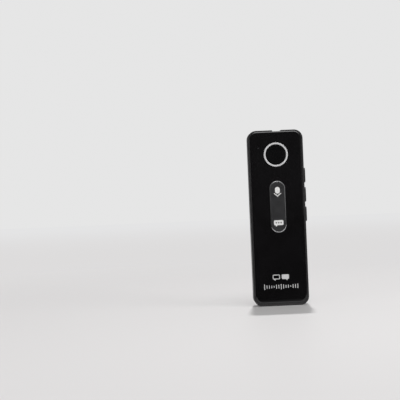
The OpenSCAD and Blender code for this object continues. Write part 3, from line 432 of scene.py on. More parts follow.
class Palette:
    """Every finish of the device, by name."""

    housing = HandledShell("satin_moulded_shell", (0.0235, 0.0226, 0.0234), 0.50, specular=0.3, tone=0.10,
                           tone_mm=11.0, grain_mm=0.16)
    panel = GlossLacquer("gloss_black_front", (0.0044, 0.0041, 0.0045), 0.035, tone=0.18, tone_mm=14.0,
                         grain_mm=2.6, depth_mm=0.0006)
    round_key = GlossLacquer("gloss_black_round_key", (0.0033, 0.0032, 0.0035), 0.04, tone=0.15, tone_mm=6.0,
                             grain_mm=2.2, depth_mm=0.0005, smear=0.03)
    ring = Finish("matte_grey_ring", (0.56, 0.56, 0.565), 0.46, specular=0.35, tone=0.035, tone_mm=3.0,
                  grain=Grain.TURNED, grain_mm=0.11, depth_mm=0.0012, centre_mm=(0.0, 0.0, RING_Z))
    talk_face = Finish("satin_talk_key_face", (0.0285, 0.0285, 0.0298), 0.42, specular=0.4, tone=0.16,
                       tone_mm=4.5, grain=Grain.BRUSHED, grain_mm=0.09, depth_mm=0.002, along=RIGHT)
    talk_trim = Finish("polished_talk_key_trim", (0.50, 0.50, 0.51), 0.14, metal=1.0, tone=0.06, tone_mm=3.0,
                       rough_play=0.03, grain_mm=0.3, depth_mm=0.0006)
    side_key = Finish("satin_side_key", (0.026, 0.0252, 0.026), 0.36, tone=0.10, tone_mm=3.0, grain_mm=0.12,
                      depth_mm=0.004)
    key_sign = Finish("printed_white_sign", (0.70, 0.70, 0.69), 0.5, tone=0.04, tone_mm=1.2, grain_mm=0.1,
                      depth_mm=0.001)
    panel_sign = Finish("printed_grey_sign", (0.60, 0.60, 0.60), 0.5, tone=0.05, tone_mm=1.2, grain_mm=0.1,
                        depth_mm=0.001)
    steel = Finish("brushed_stainless_steel", (0.56, 0.56, 0.57), 0.26, metal=1.0, tone=0.05, tone_mm=2.0,
                   grain=Grain.BRUSHED, grain_mm=0.05, depth_mm=0.0015, along=RIGHT)
    gold = Finish("gold_plated_contact", (0.86, 0.60, 0.24), 0.22, metal=1.0, tone=0.05, tone_mm=1.0,
                  grain=Grain.BRUSHED, grain_mm=0.03, depth_mm=0.0008)
    grille = Finish("black_anodised_grille", (0.045, 0.045, 0.047), 0.38, metal=0.6, tone=0.08, tone_mm=4.0,
                    grain=Grain.BRUSHED, grain_mm=0.08, depth_mm=0.002, along=RIGHT)
    dust_mesh = Finish("woven_dust_mesh", (0.014, 0.014, 0.014), 0.7, tone=0.1, grain=Grain.WOVEN,
                       grain_mm=0.18, depth_mm=0.03)
    dark_plastic = Finish("moulded_inner_plastic", (0.018, 0.018, 0.019), 0.5, grain_mm=0.2)
    key_plastic = Finish("moulded_key_carrier", (0.022, 0.022, 0.024), 0.45, grain_mm=0.2, depth_mm=0.005)
    switch_body = Finish("switch_steel_and_plastic", (0.42, 0.42, 0.40), 0.34, metal=0.7, tone=0.08,
                         tone_mm=1.5, grain=Grain.BRUSHED, grain_mm=0.06, depth_mm=0.0015, along=RIGHT)
    plunger = Finish("natural_nylon", (0.66, 0.62, 0.50), 0.42, tone=0.06, tone_mm=1.5, grain_mm=0.12,
                     depth_mm=0.003)
    board = SolderMask("green_circuit_board", (0.012, 0.10, 0.045), 0.28, tone=0.1, grain=Grain.CELLS,
                       grain_mm=0.9, depth_mm=0.004)
    chip = Finish("moulded_chip", (0.016, 0.016, 0.017), 0.55, tone=0.08, tone_mm=2.0, grain_mm=0.09,
                  depth_mm=0.004)
    tin = Finish("tinned_sheet", (0.60, 0.60, 0.59), 0.3, metal=1.0, tone=0.06, tone_mm=2.5,
                 grain=Grain.BRUSHED, grain_mm=0.07, depth_mm=0.0015, along=RIGHT)
    ferrite = Finish("pressed_ferrite", (0.10, 0.10, 0.11), 0.6, tone=0.14, tone_mm=0.8, grain=Grain.CELLS,
                     grain_mm=0.12, depth_mm=0.01)
    ceramic = Finish("fired_ceramic", (0.44, 0.32, 0.19), 0.44, tone=0.12, tone_mm=0.7, grain_mm=0.07,
                     depth_mm=0.003)
    smoked = Finish("smoked_light_window", (0.030, 0.030, 0.033), 0.12, tone=0.1, tone_mm=1.0,
                    grain_mm=0.4, depth_mm=0.0006)
    lamp = Finish("milky_light_chip", (0.80, 0.78, 0.66), 0.3, tone=0.05, tone_mm=0.6, grain_mm=0.1,
                  depth_mm=0.002)
    rubber = Finish("black_rubber", (0.017, 0.017, 0.017), 0.75, tone=0.1, tone_mm=2.0, grain_mm=0.15,
                    depth_mm=0.01)
    foil = Finish("aluminium_foil_pouch", (0.60, 0.61, 0.63), 0.32, metal=1.0, tone=0.05, tone_mm=6.0,
                  grain=Grain.CREASED, grain_mm=2.6, depth_mm=0.05)
    film = Finish("amber_film", (0.50, 0.33, 0.08), 0.25, tone=0.08, tone_mm=3.0, grain=Grain.CREASED,
                  grain_mm=1.8, depth_mm=0.01)
    adhesive = Finish("black_adhesive_film", (0.02, 0.02, 0.02), 0.5, tone=0.1, grain=Grain.WOVEN,
                      grain_mm=0.4)
    paper_tape = Finish("white_adhesive_tape", (0.72, 0.71, 0.67), 0.6, tone=0.05, grain=Grain.WOVEN,
                        grain_mm=0.3)
    foam = Finish("open_cell_foam", (0.028, 0.028, 0.028), 0.9, tone=0.2, tone_mm=1.0, grain=Grain.CELLS,
                  grain_mm=0.35, depth_mm=0.12)
    wire = Finish("red_wire_insulation", (0.42, 0.02, 0.016), 0.4, tone=0.08, tone_mm=1.2, grain_mm=0.15,
                  depth_mm=0.003)
    magnet = Finish("nickel_plated_magnet", (0.48, 0.48, 0.47), 0.24, metal=1.0, tone=0.06, tone_mm=3.0,
                    grain=Grain.TURNED, grain_mm=0.16, depth_mm=0.002, centre_mm=(0.0, 0.0, SPEAKER_Z))
    cone = Finish("pressed_paper_cone", (0.030, 0.030, 0.032), 0.7, tone=0.16, tone_mm=1.0, grain_mm=0.25,
                  depth_mm=0.02)


# ---- Meshes ----


class Piece:
    """A new piece while its mesh is made, up to its hand-over to a CAD body."""

    def __init__(self, name: str) -> None:
        """Takes the piece's name and starts with an empty mesh."""
        self.name = name
        self.mesh = bmesh.new()

    def path(self, section: Section, half_w: float, half_h: float, centre: Point, steps: int,
             shut: bool = False) -> None:
        """Sweeps a section round a rectangle's path, turning about each of its four corners.

        Args:
            section: Points of the section as distance out from the path and depth along Y.
            half_w: Half the distance between the corners across.
            half_h: Half the distance between the corners up.
            centre: Middle of the path as X and Z.
            steps: Faces in each quarter turn.
            shut: Whether the section's last point joins its first.
        """
        mesh, (x, z) = self.mesh, centre
        start = [mesh.verts.new(((x + half_w + r) * MM, y * MM, (z - half_h) * MM)) for r, y in section]
        pairs = list(zip(start, start[1:])) + ([(start[-1], start[0])] if shut else [])
        last: list = start + [mesh.edges.new(pair) for pair in pairs]
        runs = ((0, 2 * half_h), (-2 * half_w, 0), (0, -2 * half_h), (2 * half_w, 0))
        for (run_x, run_z), (side, up) in zip(runs, ((1, 1), (-1, 1), (-1, -1), (1, -1))):
            if run_x or run_z:
                last = self.pushed(last, Vector((run_x, 0, run_z)) * MM)
            corner = ((x + side * half_w) * MM, 0, (z + up * half_h) * MM)
            last = bmesh.ops.spin(mesh, geom=last, cent=corner, axis=FRONT, angle=QUARTER, steps=steps,
                                  use_merge=False, use_duplicate=False)["geom_last"]

    def pushed(self, geometry: list, by: Vector) -> list:
        """Extrudes points and edges straight.

        Args:
            geometry: Points and edges to extrude.
            by: How far.

        Returns:
            The points and edges at the far end.
        """
        edges = [g for g in geometry if isinstance(g, bmesh.types.BMEdge)]
        if edges:
            made = bmesh.ops.extrude_edge_only(self.mesh, edges=edges)["geom"]
        else:
            made = bmesh.ops.extrude_vert_indiv(self.mesh, verts=geometry)["verts"]
        points = [g for g in made if isinstance(g, bmesh.types.BMVert)]
        bmesh.ops.translate(self.mesh, verts=points, vec=by)
        far = (g for g in made if isinstance(g, bmesh.types.BMEdge) and all(v in points for v in g.verts))
        return [*points, *far]

    def close(self, *depths: float) -> None:
        """Fills the flat between the open edges at each depth along Y, round any holes in it."""
        self.weld()
        for depth in depths:
            rim = [e for e in self.mesh.edges
                   if not e.is_manifold and all(abs(v.co.y - depth * MM) < WELD for v in e.verts)]
            bmesh.ops.triangle_fill(self.mesh, use_beauty=True, use_dissolve=False, edges=rim, normal=FRONT)

    def weld(self) -> None:
        """Merges points that lie on each other."""
        bmesh.ops.remove_doubles(self.mesh, verts=self.mesh.verts, dist=WELD)

    def pill(self, width: float, length: float, front: float, back: float, centre: Point,
             steps: int = 8, lean: float = 0.0) -> None:
        """Adds a flat bar with round ends.

        Args:
            width: Width of the bar.
            length: Length over its round ends.
            front: Depth of its front face.
            back: Depth of its rear face.
            centre: Its middle as X and Z.
            steps: Faces in each quarter turn.
            lean: How far it leans from upright, in degrees.
        """
        before = set(self.mesh.verts)
        r = width / 2
        section = ((0, front), (r, front), (r, back), (0, back))
        self.path(section, 0, (length - width) / 2, (0, 0), steps)
        fresh = [v for v in self.mesh.verts if v not in before]
        turn = Matrix.Rotation(math.radians(lean), 3, FRONT)
        bmesh.ops.rotate(self.mesh, verts=fresh, cent=(0, 0, 0), matrix=turn)
        bmesh.ops.translate(self.mesh, verts=fresh, vec=Vector((centre[0], 0, centre[1])) * MM)

    def stroke(self, width: float, start: Point, end: Point, front: float, back: float) -> None:
        """Adds a flat bar with round ends between two points.

        Args:
            width: Width of the bar.
            start: Middle of its first round end as X and Z.
            end: Middle of its other round end.
            front: Depth of its front face.
            back: Depth of its rear face.
        """
        run = Vector(end) - Vector(start)
        lean = -math.degrees(math.atan2(run.x, run.y))
        self.pill(width, run.length + width, front, back, tuple((Vector(start) + Vector(end)) / 2), 3, lean)

    def soften(self, radius: float, segments: int, low: float = -math.inf, high: float = math.inf,
               least: float = 40.0) -> None:
        """Rounds the edges that lie in a range of depth.

        Args:
            radius: Radius of the rounding.
            segments: Faces across it.
            low: Front of the range along Y.
            high: Rear of the range.
            least: Smallest turn of the surface that is rounded, in degrees.
        """
        self.weld()
        bmesh.ops.recalc_face_normals(self.mesh, faces=self.mesh.faces)
        sharp = [e for e in self.mesh.edges if e.is_manifold and e.calc_face_angle(0) > math.radians(least)
                 and all(low * MM <= v.co.y <= high * MM for v in e.verts)]
        bmesh.ops.bevel(self.mesh, geom=sharp, offset=radius * MM, offset_type="OFFSET", segments=segments,
                        profile=0.5, affect="EDGES", clamp_overlap=True, material=-1)

    def finish(self, finish: Finish, body: str, slot: str, stands_for: Sequence[str] = (),
               place: Place | None = None) -> None:
        """Closes the mesh and hands the piece over.

        Args:
            finish: What it is finished in.
            body: CAD body that it moves with.
            slot: The record's material slot; not used.
            stands_for: CAD nodes that it is shown in place of.
            place: Where its middle goes once it is turned from the front to the right.
        """
        self.weld()
        if place is not None:
            turned = Matrix.Translation(Vector(place) * MM) @ Matrix.Rotation(QUARTER, 4, "Z")
            bmesh.ops.transform(self.mesh, matrix=turned, verts=self.mesh.verts)
        bmesh.ops.recalc_face_normals(self.mesh, faces=self.mesh.faces)
        open_edges = sum(not e.is_manifold for e in self.mesh.edges)
        data = bpy.data.meshes.new(self.name)
        self.mesh.to_mesh(data)
        self.mesh.free()
        data.shade_smooth()
        data.set_sharp_from_angle(angle=math.radians(SHARP_DEG))
        data.materials.append(finish.material())
        piece = placed(self.name, data)
        piece.modifiers.new("flat faces stay flat", "WEIGHTED_NORMAL").keep_sharp = True
        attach(piece, body)
        if stands_for:
            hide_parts(*stands_for)
        log.info("%s: %d faces, %d open edges", self.name, len(data.polygons), open_edges)


# ---- Sub-assemblies ----


@dataclass
class FrontPanel:
    """Glossy front with its openings, and the printed marks at its foot."""

    width: float = 30.5
    height: float = 102.55
    corner_r: float = 4.2
    slope_w: float = 0.6
    slope_d: float = 0.3
    edge_r: float = 0.1
    front: float = -5.5
    back: float = -4.7
    middle_z: float = 53.025
    ring_gap: float = 0.08
    key_gap: float = 0.1
    light: Point = (-10.4, 94.4)
    light_hole_d: float = 0.9
    broken: float = 0.05
    mark_proud: float = 0.015
    mark_sunk: float = 0.03
    bubble_x: float = 2.7
    bubble_z: float = 17.35
    bars_z: float = 11.55

    def build(self) -> None:
        """Builds the panel and its marks."""
        self.build_panel()
        self.build_bubbles()
        self.build_level_bars()

    def build_panel(self) -> None:
        """Builds the panel with a sloped edge and slightly broken edges at its holes."""
        piece = Piece("gloss_front_panel")
        r, front, back = self.corner_r, self.front, self.back
        flat, border = r - self.slope_w, self.slope_w / 2
        edge = ((flat - border, front), (flat, front), (r, front + self.slope_d), (r, back))
        piece.path(edge, self.width / 2 - r, self.height / 2 - r, (0, self.middle_z), 10)
        piece.soften(self.edge_r, 4, least=15)
        ring_hole = RING_OD + 2 * self.ring_gap
        for width, length, centre, steps in (
                (ring_hole, ring_hole, (0, RING_Z), 20),
                (TALK_W + 2 * self.key_gap, TALK_LEN + 2 * self.key_gap, (0, TALK_Z), 20),
                (self.light_hole_d, self.light_hole_d, self.light, 6)):
            r = width / 2
            rim = ((r + self.broken, front), (r, front + self.broken), (r, back))
            piece.path(rim, 0, (length - width) / 2, centre, steps)
        piece.close(front, back)
        piece.finish(Palette.panel, "case", "panel", ["front_panel"])

    def build_bubbles(self) -> None:
        """Builds the upper mark: an outlined speech bubble beside a solid one."""
        piece = Piece("printed_speech_marks")
        front, back = self.front - self.mark_proud, self.front + self.mark_sunk
        x, z, half_w, half_h, r, line = self.bubble_x, self.bubble_z, 2.15, 1.4, 0.55, 0.42
        tail_w, tail_len, tail_x, tail_drop, tail_lean = 0.6, 1.3, 1.0, 0.08, 35
        piece.path(((r, front), (r, back)), half_w - r, half_h - r, (x, z), 3)
        piece.close(front, back)
        outline = ((r - line, front), (r, front), (r, back), (r - line, back))
        piece.path(outline, half_w - r, half_h - r, (-x, z), 3, shut=True)
        for side in (-1, 1):
            tip = (side * (x + tail_x), z - half_h - tail_drop)
            piece.pill(tail_w, tail_len, front + TAIL_STEP, back, tip, 3, -side * tail_lean)
        piece.finish(Palette.panel_sign, "case", "ring")

    def build_level_bars(self) -> None:
        """Builds the lower mark: a row of upright bars, as of a voice's level."""
        piece = Piece("printed_level_bars")
        front, back = self.front - self.mark_proud, self.front + self.mark_sunk
        count, pitch, width, shortest, swing = 15, 1.42, 0.42, 1.0, 2.4
        swell_turn, swell_share, ripple_turn, ripple_start, ripple_share = 0.85, 0.6, 2.6, 0.6, 0.4
        for i in range(count):
            step = i - (count - 1) / 2
            swell = 0.5 + 0.5 * math.cos(step * swell_turn)
            ripple = 0.5 + 0.5 * math.sin(step * ripple_turn + ripple_start)
            length = shortest + swing * (swell_share * swell + ripple_share * ripple)
            piece.pill(width, length, front, back, (step * pitch, self.bars_z), 3)
        piece.finish(Palette.panel_sign, "case", "ring")


@dataclass
class RingKey:
    """Matte ring that is fixed in the panel, and the round dished key inside it."""

    ring_w: float = 1.03
    ring_edge_r: float = 0.2
    ring_front: float = -5.6
    seat: float = -4.58
    key_d: float = 12.0
    key_front: float = -5.5
    key_back: float = -4.3
    key_edge_r: float = 0.18
    dish: float = 0.25
    dish_steps: int = 8
    land: float = 0.6

    def build(self) -> None:
        """Builds the ring and the key."""
        ring = Piece("matte_ring")
        outer, inner = RING_OD / 2, RING_OD / 2 - self.ring_w
        band = ((inner, self.ring_front), (outer, self.ring_front), (outer, self.seat), (inner, self.seat))
        ring.path(band, 0, 0, (0, RING_Z), 24, shut=True)
        ring.soften(self.ring_edge_r, 4, high=self.ring_front + NEAR)
        ring.finish(Palette.ring, "case", "ring", ["ring_trim"])
        key = Piece("round_key")
        r = self.key_d / 2
        hollow = r - self.land
        shares = [i / self.dish_steps for i in range(self.dish_steps + 1)]
        face = [(hollow * share, self.key_front + self.dish * (1 - share ** 2)) for share in shares]
        key.path([*face, (r, self.key_front), (r, self.key_back), (0, self.key_back)], 0, 0, (0, RING_Z), 24)
        key.soften(self.key_edge_r, 4, high=self.key_front + NEAR)
        key.finish(Palette.round_key, "ring_key", "panel", ["ring_key_cap"])


@dataclass
class TalkKey:
    """Long key with a satin face in a polished bevelled frame, and the signs on its face."""

    front: float = -6.1
    back: float = -4.3
    bevel_w: float = 0.42
    bevel_d: float = 0.32
    bevel_edge_r: float = 0.07
    land: float = 0.06
    face_gap: float = 0.01
    face_drop: float = 0.04
    face_edge_r: float = 0.05
    sign_proud: float = 0.02
    sign_sunk: float = 0.04
    microphone_z: float = 68.6
    bubble_z: float = 49.7

    def build(self) -> None:
        """Builds the face, the frame round it and both signs."""
        half, outer = (TALK_LEN - TALK_W) / 2, TALK_W / 2
        flat = outer - self.bevel_w
        inner, face_y = flat - self.land, self.front + self.face_drop
        face = Piece("talk_key_face")
        section = ((0, face_y), (inner, face_y), (inner, self.back), (0, self.back))
        face.path(section, 0, half, (0, TALK_Z), 20)
        face.soften(self.face_edge_r, 2, high=face_y + NEAR)
        face.finish(Palette.talk_face, "talk_key", "talk_key", ["talk_key_cap"])
        frame = Piece("talk_key_frame")
        hole, bevel_y = inner + self.face_gap, self.front + self.bevel_d
        section = ((hole, self.front), (flat, self.front), (outer, bevel_y), (outer, self.back),
                   (hole, self.back))
        frame.path(section, 0, half, (0, TALK_Z), 20, shut=True)
        frame.soften(self.bevel_edge_r, 3, high=bevel_y + NEAR, least=15)
        frame.finish(Palette.talk_trim, "talk_key", "bright_trim", ["talk_key_trim"])
        self.build_microphone_sign()
        self.build_bubble_sign()

    def depths(self) -> tuple[float, float]:
        """Gives the depths of a sign's face and rear."""
        face = self.front + self.face_drop
        return face - self.sign_proud, face + self.sign_sunk

    def build_microphone_sign(self) -> None:
        """Builds the microphone sign: a capsule over a V-shaped cradle with a short stem."""
        sign = Piece("microphone_sign")
        front, back = self.depths()
        z, line, cradle_x = self.microphone_z, 0.54, 1.95
        capsule_w, capsule_len, capsule_rise = 2.95, 4.05, 0.45
        cradle_drop, point_drop, stem_len, stem_drop = 1.5, 2.9, 0.8, 3.15
        sign.pill(capsule_w, capsule_len, front, back, (0, z + capsule_rise), 10)
        for side in (-1, 1):
            sign.stroke(line, (side * cradle_x, z - cradle_drop), (0, z - point_drop), front, back)
        sign.pill(line, stem_len, front, back, (0, z - stem_drop), 4)
        sign.finish(Palette.key_sign, "talk_key", "ring")

    def build_bubble_sign(self) -> None:
        """Builds the speech bubble sign: a solid bubble with a tail and three dots left open in it."""
        sign = Piece("speech_bubble_sign")
        front, back = self.depths()
        z, half_w, half_h, r, dot_r, dot_pitch = self.bubble_z, 2.85, 1.5, 0.75, 0.42, 1.45
        tail_w, tail_len, tail_x, tail_drop, tail_lean = 0.8, 1.5, -1.3, 0.02, -32
        sign.path(((r, front), (r, back)), half_w - r, half_h - r, (0, z), 5)
        for x in (-dot_pitch, 0, dot_pitch):
            sign.path(((dot_r, front), (dot_r, back)), 0, 0, (x, z), 4)
        sign.close(front, back)
        tip = (tail_x, z - half_h - tail_drop)
        sign.pill(tail_w, tail_len, front + TAIL_STEP, back, tip, 4, tail_lean)
        sign.finish(Palette.key_sign, "talk_key", "ring")


class SideSign(Enum):
    """Raised sign on a side key."""

    PLUS = "plus"
    PLAY = "play"
    MINUS = "minus"


@dataclass
class SideKeys:
    """Three keys in the right wall, each with a soft edge and a small raised sign."""

    x_out: float = 17.5
    x_flange: float = 14.75
    x_flange_back: float = 14.25
    x_nub: float = 13.8
    y: float = -1.75
    heights: tuple[float, float, float] = (77.5, 65.9, 54.3)
    length: float = 8.8
    width: float = 2.8
    edge_r: float = 0.3
    lip: float = 0.35
    nub_d: float = 1.4
    nub_gap: float = 0.1
    sign_rise: float = 0.05
    sign_line: float = 0.24
    sign_len: float = 1.5

    def build(self) -> None:
        """Builds the three keys."""
        names = ("volume_up", "play", "volume_down")
        for name, z, sign in zip(names, self.heights, SideSign):
            self.build_key(name, z, sign)

    def build_key(self, name: str, z: float, sign: SideSign) -> None:
        """Builds one key facing the front, then turned to face the right.

        Args:
            name: Body of the key.
            z: Height of its middle.
            sign: What is raised on it.
        """
        piece = Piece(f"{name}_side_key")
        r, face = self.width / 2, -(self.x_out - self.sign_rise)
        half = (self.length - self.width) / 2
        flange, flange_back, lip_r = -self.x_flange, -self.x_flange_back, r + self.lip
        section = ((0, face), (r, face), (r, flange), (lip_r, flange), (lip_r, flange_back), (0, flange_back))
        piece.path(section, 0, half, (0, 0), 8)
        piece.soften(self.edge_r, 4, high=face + NEAR)
        nub_r, nub_root = self.nub_d / 2, flange_back - self.nub_gap
        nub = ((0, nub_root), (nub_r, nub_root), (nub_r, -self.x_nub), (0, -self.x_nub))
        piece.path(nub, 0, 0, (0, 0), 5)
        top, under, line, length = -self.x_out, face + self.sign_rise, self.sign_line, self.sign_len
        if sign is SideSign.PLAY:
            corners = ((-0.55, -length / 2), (-0.55, length / 2), (0.7, 0))
            for start, end in zip(corners, (*corners[1:], corners[0])):
                piece.stroke(line, start, end, top, under)
        else:
            piece.pill(line, length, top, under, (0, 0), 3, 90)
            if sign is SideSign.PLUS:
                piece.pill(line, length, top, under, (0, 0), 3)
        piece.finish(Palette.side_key, name, "side_key", [f"{name}_key"], (0, self.y, z))


@dataclass
class LanyardPin:
    """Steel bar in the pocket of the top end, with chamfered ends."""

    x: float = 0.9
    y: float = 1.4
    z: float = 102.7
    diameter: float = 1.5
    half_length: float = 3.35
    chamfer: float = 0.15

    def build(self) -> None:
        """Builds the bar end-on to the front and turns it to lie across the pocket."""
        piece = Piece("lanyard_pin")
        r, end = self.diameter / 2, self.half_length
        piece.path(((0, -end), (r, -end), (r, end), (0, end)), 0, 0, (0, 0), 12)
        piece.soften(self.chamfer, 2)
        piece.finish(Palette.steel, "case", "steel", ["lanyard_bar"], (self.x, self.y, self.z))


@dataclass
class CarriedOver:
    """CAD solids that keep their shape and get their finish."""

    finishes: tuple[tuple[Finish, str], ...] = (
        (Palette.housing, "front_housing rear_cover"),
        (Palette.adhesive, "panel_tape"),
        (Palette.key_plastic, "ring_key_carrier talk_key_carrier"),
        (Palette.switch_body, "ring_switch talk_switches side_switches"),
        (Palette.plunger,
         "ring_switch_plunger talk_switch_plungers volume_up_plunger play_plunger "
         "volume_down_plunger battery_plug"),
        (Palette.board, "main_board"),
        (Palette.steel, "board_screws usb_shell"),
        (Palette.chip, "radio_chip power_chip memory_chip audio_chip"),
        (Palette.tin, "radio_shield crystal microphone"),
        (Palette.ferrite, "inductors"),
        (Palette.ceramic, "passives antenna"),
        (Palette.lamp, "status_led"),
        (Palette.smoked, "light_pipe"),
        (Palette.rubber, "microphone_boot"),
        (Palette.dark_plastic, "usb_tongue speaker_basket"),
        (Palette.gold, "usb_contacts"),
        (Palette.foil, "battery_cell"),
        (Palette.film, "battery_guard"),
        (Palette.paper_tape, "battery_tape"),
        (Palette.foam, "battery_foam speaker_gasket"),
        (Palette.wire, "battery_leads speaker_leads"),
        (Palette.magnet, "speaker_magnet"),
        (Palette.cone, "speaker_cone"),
        (Palette.dust_mesh, "speaker_mesh"),
        (Palette.grille, "speaker_grille"),
    )

    def dress(self, nodes: dict[str, bpy.types.Object]) -> None:
        """Gives every CAD solid its finish.

        Args:
            nodes: The CAD solids by name.
        """
        by_name = {name: finish for finish, names in self.finishes for name in names.split()}
        for name, solid in nodes.items():
            finish = by_name.get(name, Palette.dark_plastic)
            solid.data.materials.clear()
            solid.data.materials.append(finish.material())
            log.info("%s: %s", name, finish.name)


# ---- Studio ----


@dataclass
class Softbox:
    """A square lamp that looks at the middle of the device and isn't mirrored in it."""

    name: str
    place: Place
    size: float
    power: float
    aim: Place = (0.0, 0.0, 0.052)

    def build(self) -> None:
        """Hangs the lamp."""
        lamp = bpy.data.lights.new(self.name, "AREA")
        lamp.shape, lamp.size, lamp.energy = "SQUARE", self.size, self.power
        holder = placed(self.name, lamp)
        holder.location = self.place
        holder.visible_glossy = False
        holder.rotation_euler = (Vector(self.aim) - Vector(self.place)).to_track_quat("-Z", "Y").to_euler()


@dataclass
class Studio:
    """Pale floor, pale surroundings, softboxes and the camera, with what gloss mirrors set apart.

    Gloss mirrors dimmer surroundings than the camera sees, pale behind the device and dark in front of it,
    with a strip light over the front. To gloss the floor in front is painted dark, a painted dark reflection,
    and a band at the foot glows white, a painted highlight on the device's lower edges.
    """

    lens: float = 90.0
    sensor: float = 36.0
    clip_start: float = 0.01
    camera: Place = (-0.0600, -0.6010, 0.06515)
    roll_deg: float = 2.37
    yaw_deg: float = 1.315
    sky_colour: Colour = (0.79, 0.79, 0.79)
    fill: float = 0.32
    depth_span: Span = (-0.2, 0.7)
    front_strength: float = 0.06
    rear_strength: float = 0.80
    width_span: Span = (-0.3, 0.2)
    left_share: float = 0.4
    upper_span: Span = (0.2, 1.0)
    upper_strength: float = 0.35
    left_span: Span = (-1.0, -0.6)
    left_strength: float = 0.16
    right_span: Span = (0.6, 1.0)
    right_strength: float = 0.32
    strip_x: float = 0.18
    strip_reach: Span = (0.15, 0.8)
    strip_y: float = -0.54
    strip_edge: Span = (0.12, 0.22)
    strip_rise: Span = (0.3, 0.6)
    strip_strength: float = 6.0
    floor_half: float = 2.5
    lit_colour: Colour = (0.52, 0.51, 0.51)
    floor_colour: Colour = (0.725, 0.715, 0.715)
    far_colour: Colour = (0.775, 0.775, 0.78)
    far_span: Span = (0.6, 2.2)
    even_span: Span = (0.1, 0.45)
    even_least: float = 0.1
    rear_span: Span = (0.0, 0.04)
    # Painted dark reflection: gloss that looks at the floor in front of the device sees this near-black
    # colour, not the pale floor
    dark_span: Span = (-0.045, -0.020)
    dark_reflection_colour: Colour = (0.02, 0.02, 0.02)
    # Painted highlight: gloss sees a band of floor at the device's foot glowing white, which lights its lower
    # edges in reflection
    foot_y: float = -0.0095
    foot_edge: Span = (0.003, 0.0065)
    foot_highlight_glow: Colour = (1.0, 1.0, 1.0)
    softboxes: tuple[Softbox, ...] = (
        Softbox("rear_softbox", (0.09, 0.92, 2.30), 0.10, 54.0),
        Softbox("front_softbox", (0.058, -0.42, 0.73), 0.30, 1.9),
        Softbox("left_softbox", (-0.50, -0.55, 0.35), 0.5, 0.9),
        Softbox("right_softbox", (0.62, -0.42, 0.30), 0.5, 3.1),
    )

    def build(self) -> None:
        """Builds everything that lights or shows the device."""
        self.build_camera()
        self.build_world()
        self.build_floor()
        for softbox in self.softboxes:
            softbox.build()

    def build_camera(self) -> None:
        """Sets up the camera before the device, a little to its left, turned to it and rolled."""
        data = bpy.data.cameras.new("camera")
        data.lens, data.sensor_width, data.clip_start = self.lens, self.sensor, self.clip_start
        camera = placed("camera", data)
        camera.location = self.camera
        camera.rotation_euler = (QUARTER, math.radians(self.roll_deg), -math.radians(self.yaw_deg))
        bpy.context.scene.camera = camera
        bpy.context.scene.view_settings.view_transform = "Standard"

    def build_world(self) -> None:
        """Makes the surroundings: pale to the camera, an even fill to matte faces, and set apart to gloss."""
        world = bpy.data.worlds.new("studio")
        world.use_nodes = True
        bpy.context.scene.world = world
        world.node_tree.nodes.clear()
        graph = Graph(world.node_tree)
        rays = graph.node("ShaderNodeLightPath").outputs
        seen = graph.node("ShaderNodeMix", data_type="FLOAT")
        for key, value in (("Factor", rays["Is Glossy Ray"]), ("A", self.fill), ("B", self.mirrored(graph))):
            graph.feed(seen.inputs[key], value)
        lit, shown = graph.node("ShaderNodeBackground"), graph.node("ShaderNodeBackground")
        graph.feed(lit.inputs["Strength"], seen.outputs["Result"])
        graph.feed(shown.inputs["Color"], (*self.sky_colour, 1))
        mixed = graph.node("ShaderNodeMixShader")
        open_sky = graph.calc("MAXIMUM", rays["Is Camera Ray"], rays["Is Transmission Ray"])
        for socket, value in zip(mixed.inputs, (open_sky, lit.outputs[0], shown.outputs[0])):
            graph.feed(socket, value)
        graph.feed(graph.node("ShaderNodeOutputWorld").inputs["Surface"], mixed.outputs[0])

    def mirrored(self, graph: Graph) -> Socket:
        """Gives how strong the surroundings are to gloss, by the direction it looks in."""
        apart = graph.node("ShaderNodeSeparateXYZ")
        graph.feed(apart.inputs[0], graph.node("ShaderNodeTexCoord").outputs["Generated"])
        x, y, z = apart.outputs
        deep = graph.spans(y, *self.depth_span, self.front_strength, self.rear_strength)
        pale = graph.calc("MULTIPLY", deep, graph.spans(x, *self.width_span, self.left_share, 1.0))
        for more in (graph.spans(z, *self.upper_span, 0.0, self.upper_strength),
                     graph.spans(x, *self.left_span, self.left_strength, 0.0),
                     graph.spans(x, *self.right_span, 0.0, self.right_strength),
                     self.strip(graph, x, y, z)):
            pale = graph.calc("ADD", pale, more)
        return pale

    def strip(self, graph: Graph, x: Socket, y: Socket, z: Socket) -> Socket:
        """Gives the strength of a strip over the front that fades towards its ends, by direction."""
        side, off = (graph.calc("ABSOLUTE", graph.calc("SUBTRACT", value, middle))
                     for value, middle in ((x, self.strip_x), (y, self.strip_y)))
        across = graph.spans(side, *self.strip_reach, self.strip_strength, 0.0)
        deep = graph.spans(off, *self.strip_edge, 1.0, 0.0)
        high = graph.spans(z, *self.strip_rise, 0.0, 1.0)
        return graph.calc("MULTIPLY", graph.calc("MULTIPLY", across, deep), high)

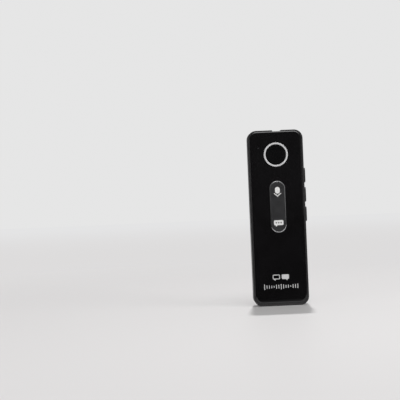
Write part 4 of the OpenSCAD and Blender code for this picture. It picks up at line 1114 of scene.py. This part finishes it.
    def build_floor(self) -> None:
        """Lays a pale floor that shows the device's shadow and fades into the surroundings."""
        mesh = bmesh.new()
        bmesh.ops.create_grid(mesh, x_segments=1, y_segments=1, size=self.floor_half)
        data = bpy.data.meshes.new("floor")
        mesh.to_mesh(data)
        mesh.free()
        floor = placed("floor", data)
        wiring = Wiring("pale_floor")
        wiring.feed(wiring.shader.inputs["Base Color"], (*self.lit_colour, 1.0))
        wiring.feed(wiring.shader.inputs["Roughness"], 0.5)
        wiring.feed(wiring.shader.inputs["Specular IOR Level"], 0.15)
        surface = wiring.shader.outputs[0]
        # The glows include a painted dark reflection and a painted highlight band, both seen by gloss only
        for share, colour in self.glows(wiring):
            glow, mixed = wiring.node("ShaderNodeEmission"), wiring.node("ShaderNodeMixShader")
            wiring.feed(glow.inputs["Color"], colour)
            for socket, value in zip(mixed.inputs, (share, surface, glow.outputs[0])):
                wiring.feed(socket, value)
            surface = mixed.outputs[0]
        wiring.feed(wiring.tree.nodes["Material Output"].inputs["Surface"], surface)
        data.materials.append(wiring.material)

    def glows(self, wiring: Wiring) -> Sequence[tuple[Socket, object]]:
        """Gives a share and a colour for the even floor, the painted dark reflection in front and the glowing
        foot band that paints a highlight.
        """
        away = wiring.node("ShaderNodeVectorMath", operation="LENGTH")
        wiring.feed(away.inputs[0], wiring.place)
        distance, depth = away.outputs["Value"], wiring.apart()[1]
        rays = wiring.node("ShaderNodeLightPath").outputs
        far = wiring.spans(distance, *self.far_span, 0.0, 1.0)
        tint = wiring.blended(far, self.floor_colour, self.far_colour)
        off_foot = wiring.calc("ABSOLUTE", wiring.calc("SUBTRACT", depth, self.foot_y))
        # Gloss only: dark paints a dark reflection of the floor in front, and foot paints a glowing band at
        # the foot as a highlight
        rear, dark, foot = (wiring.calc("MULTIPLY", rays["Is Glossy Ray"], share) for share in (
            wiring.spans(depth, *self.rear_span, 0.0, 1.0),
            wiring.spans(depth, *self.dark_span, 1.0, 0.0),
            wiring.spans(off_foot, *self.foot_edge, 1.0, 0.0)))
        seen = wiring.calc("MAXIMUM", rear, rays["Is Transmission Ray"])
        seen = wiring.calc("MAXIMUM", rays["Is Camera Ray"], seen)
        even = wiring.calc("MULTIPLY", seen, wiring.spans(distance, *self.even_span, self.even_least, 1.0))
        return (even, tint), (dark, (*self.dark_reflection_colour, 1.0)), (foot, (*self.foot_highlight_glow, 1.0))


def corners(box: Iterable[Vector]) -> list[list[float]]:
    """Gives a box's lowest and highest corner as plain lists."""
    return [list(corner) for corner in box]


def main() -> None:
    """Builds the studio and the device round its imported frame."""
    logging.basicConfig(level=logging.INFO, format="%(name)s: %(message)s")
    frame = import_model()
    Studio().build()
    CarriedOver().dress(frame["nodes"])
    for part in (FrontPanel(), RingKey(), TalkKey(), SideKeys(), LanyardPin()):
        log.info("building %s", type(part).__name__)
        part.build()
    bpy.context.view_layer.update()


if __name__ == "__main__":
    main()
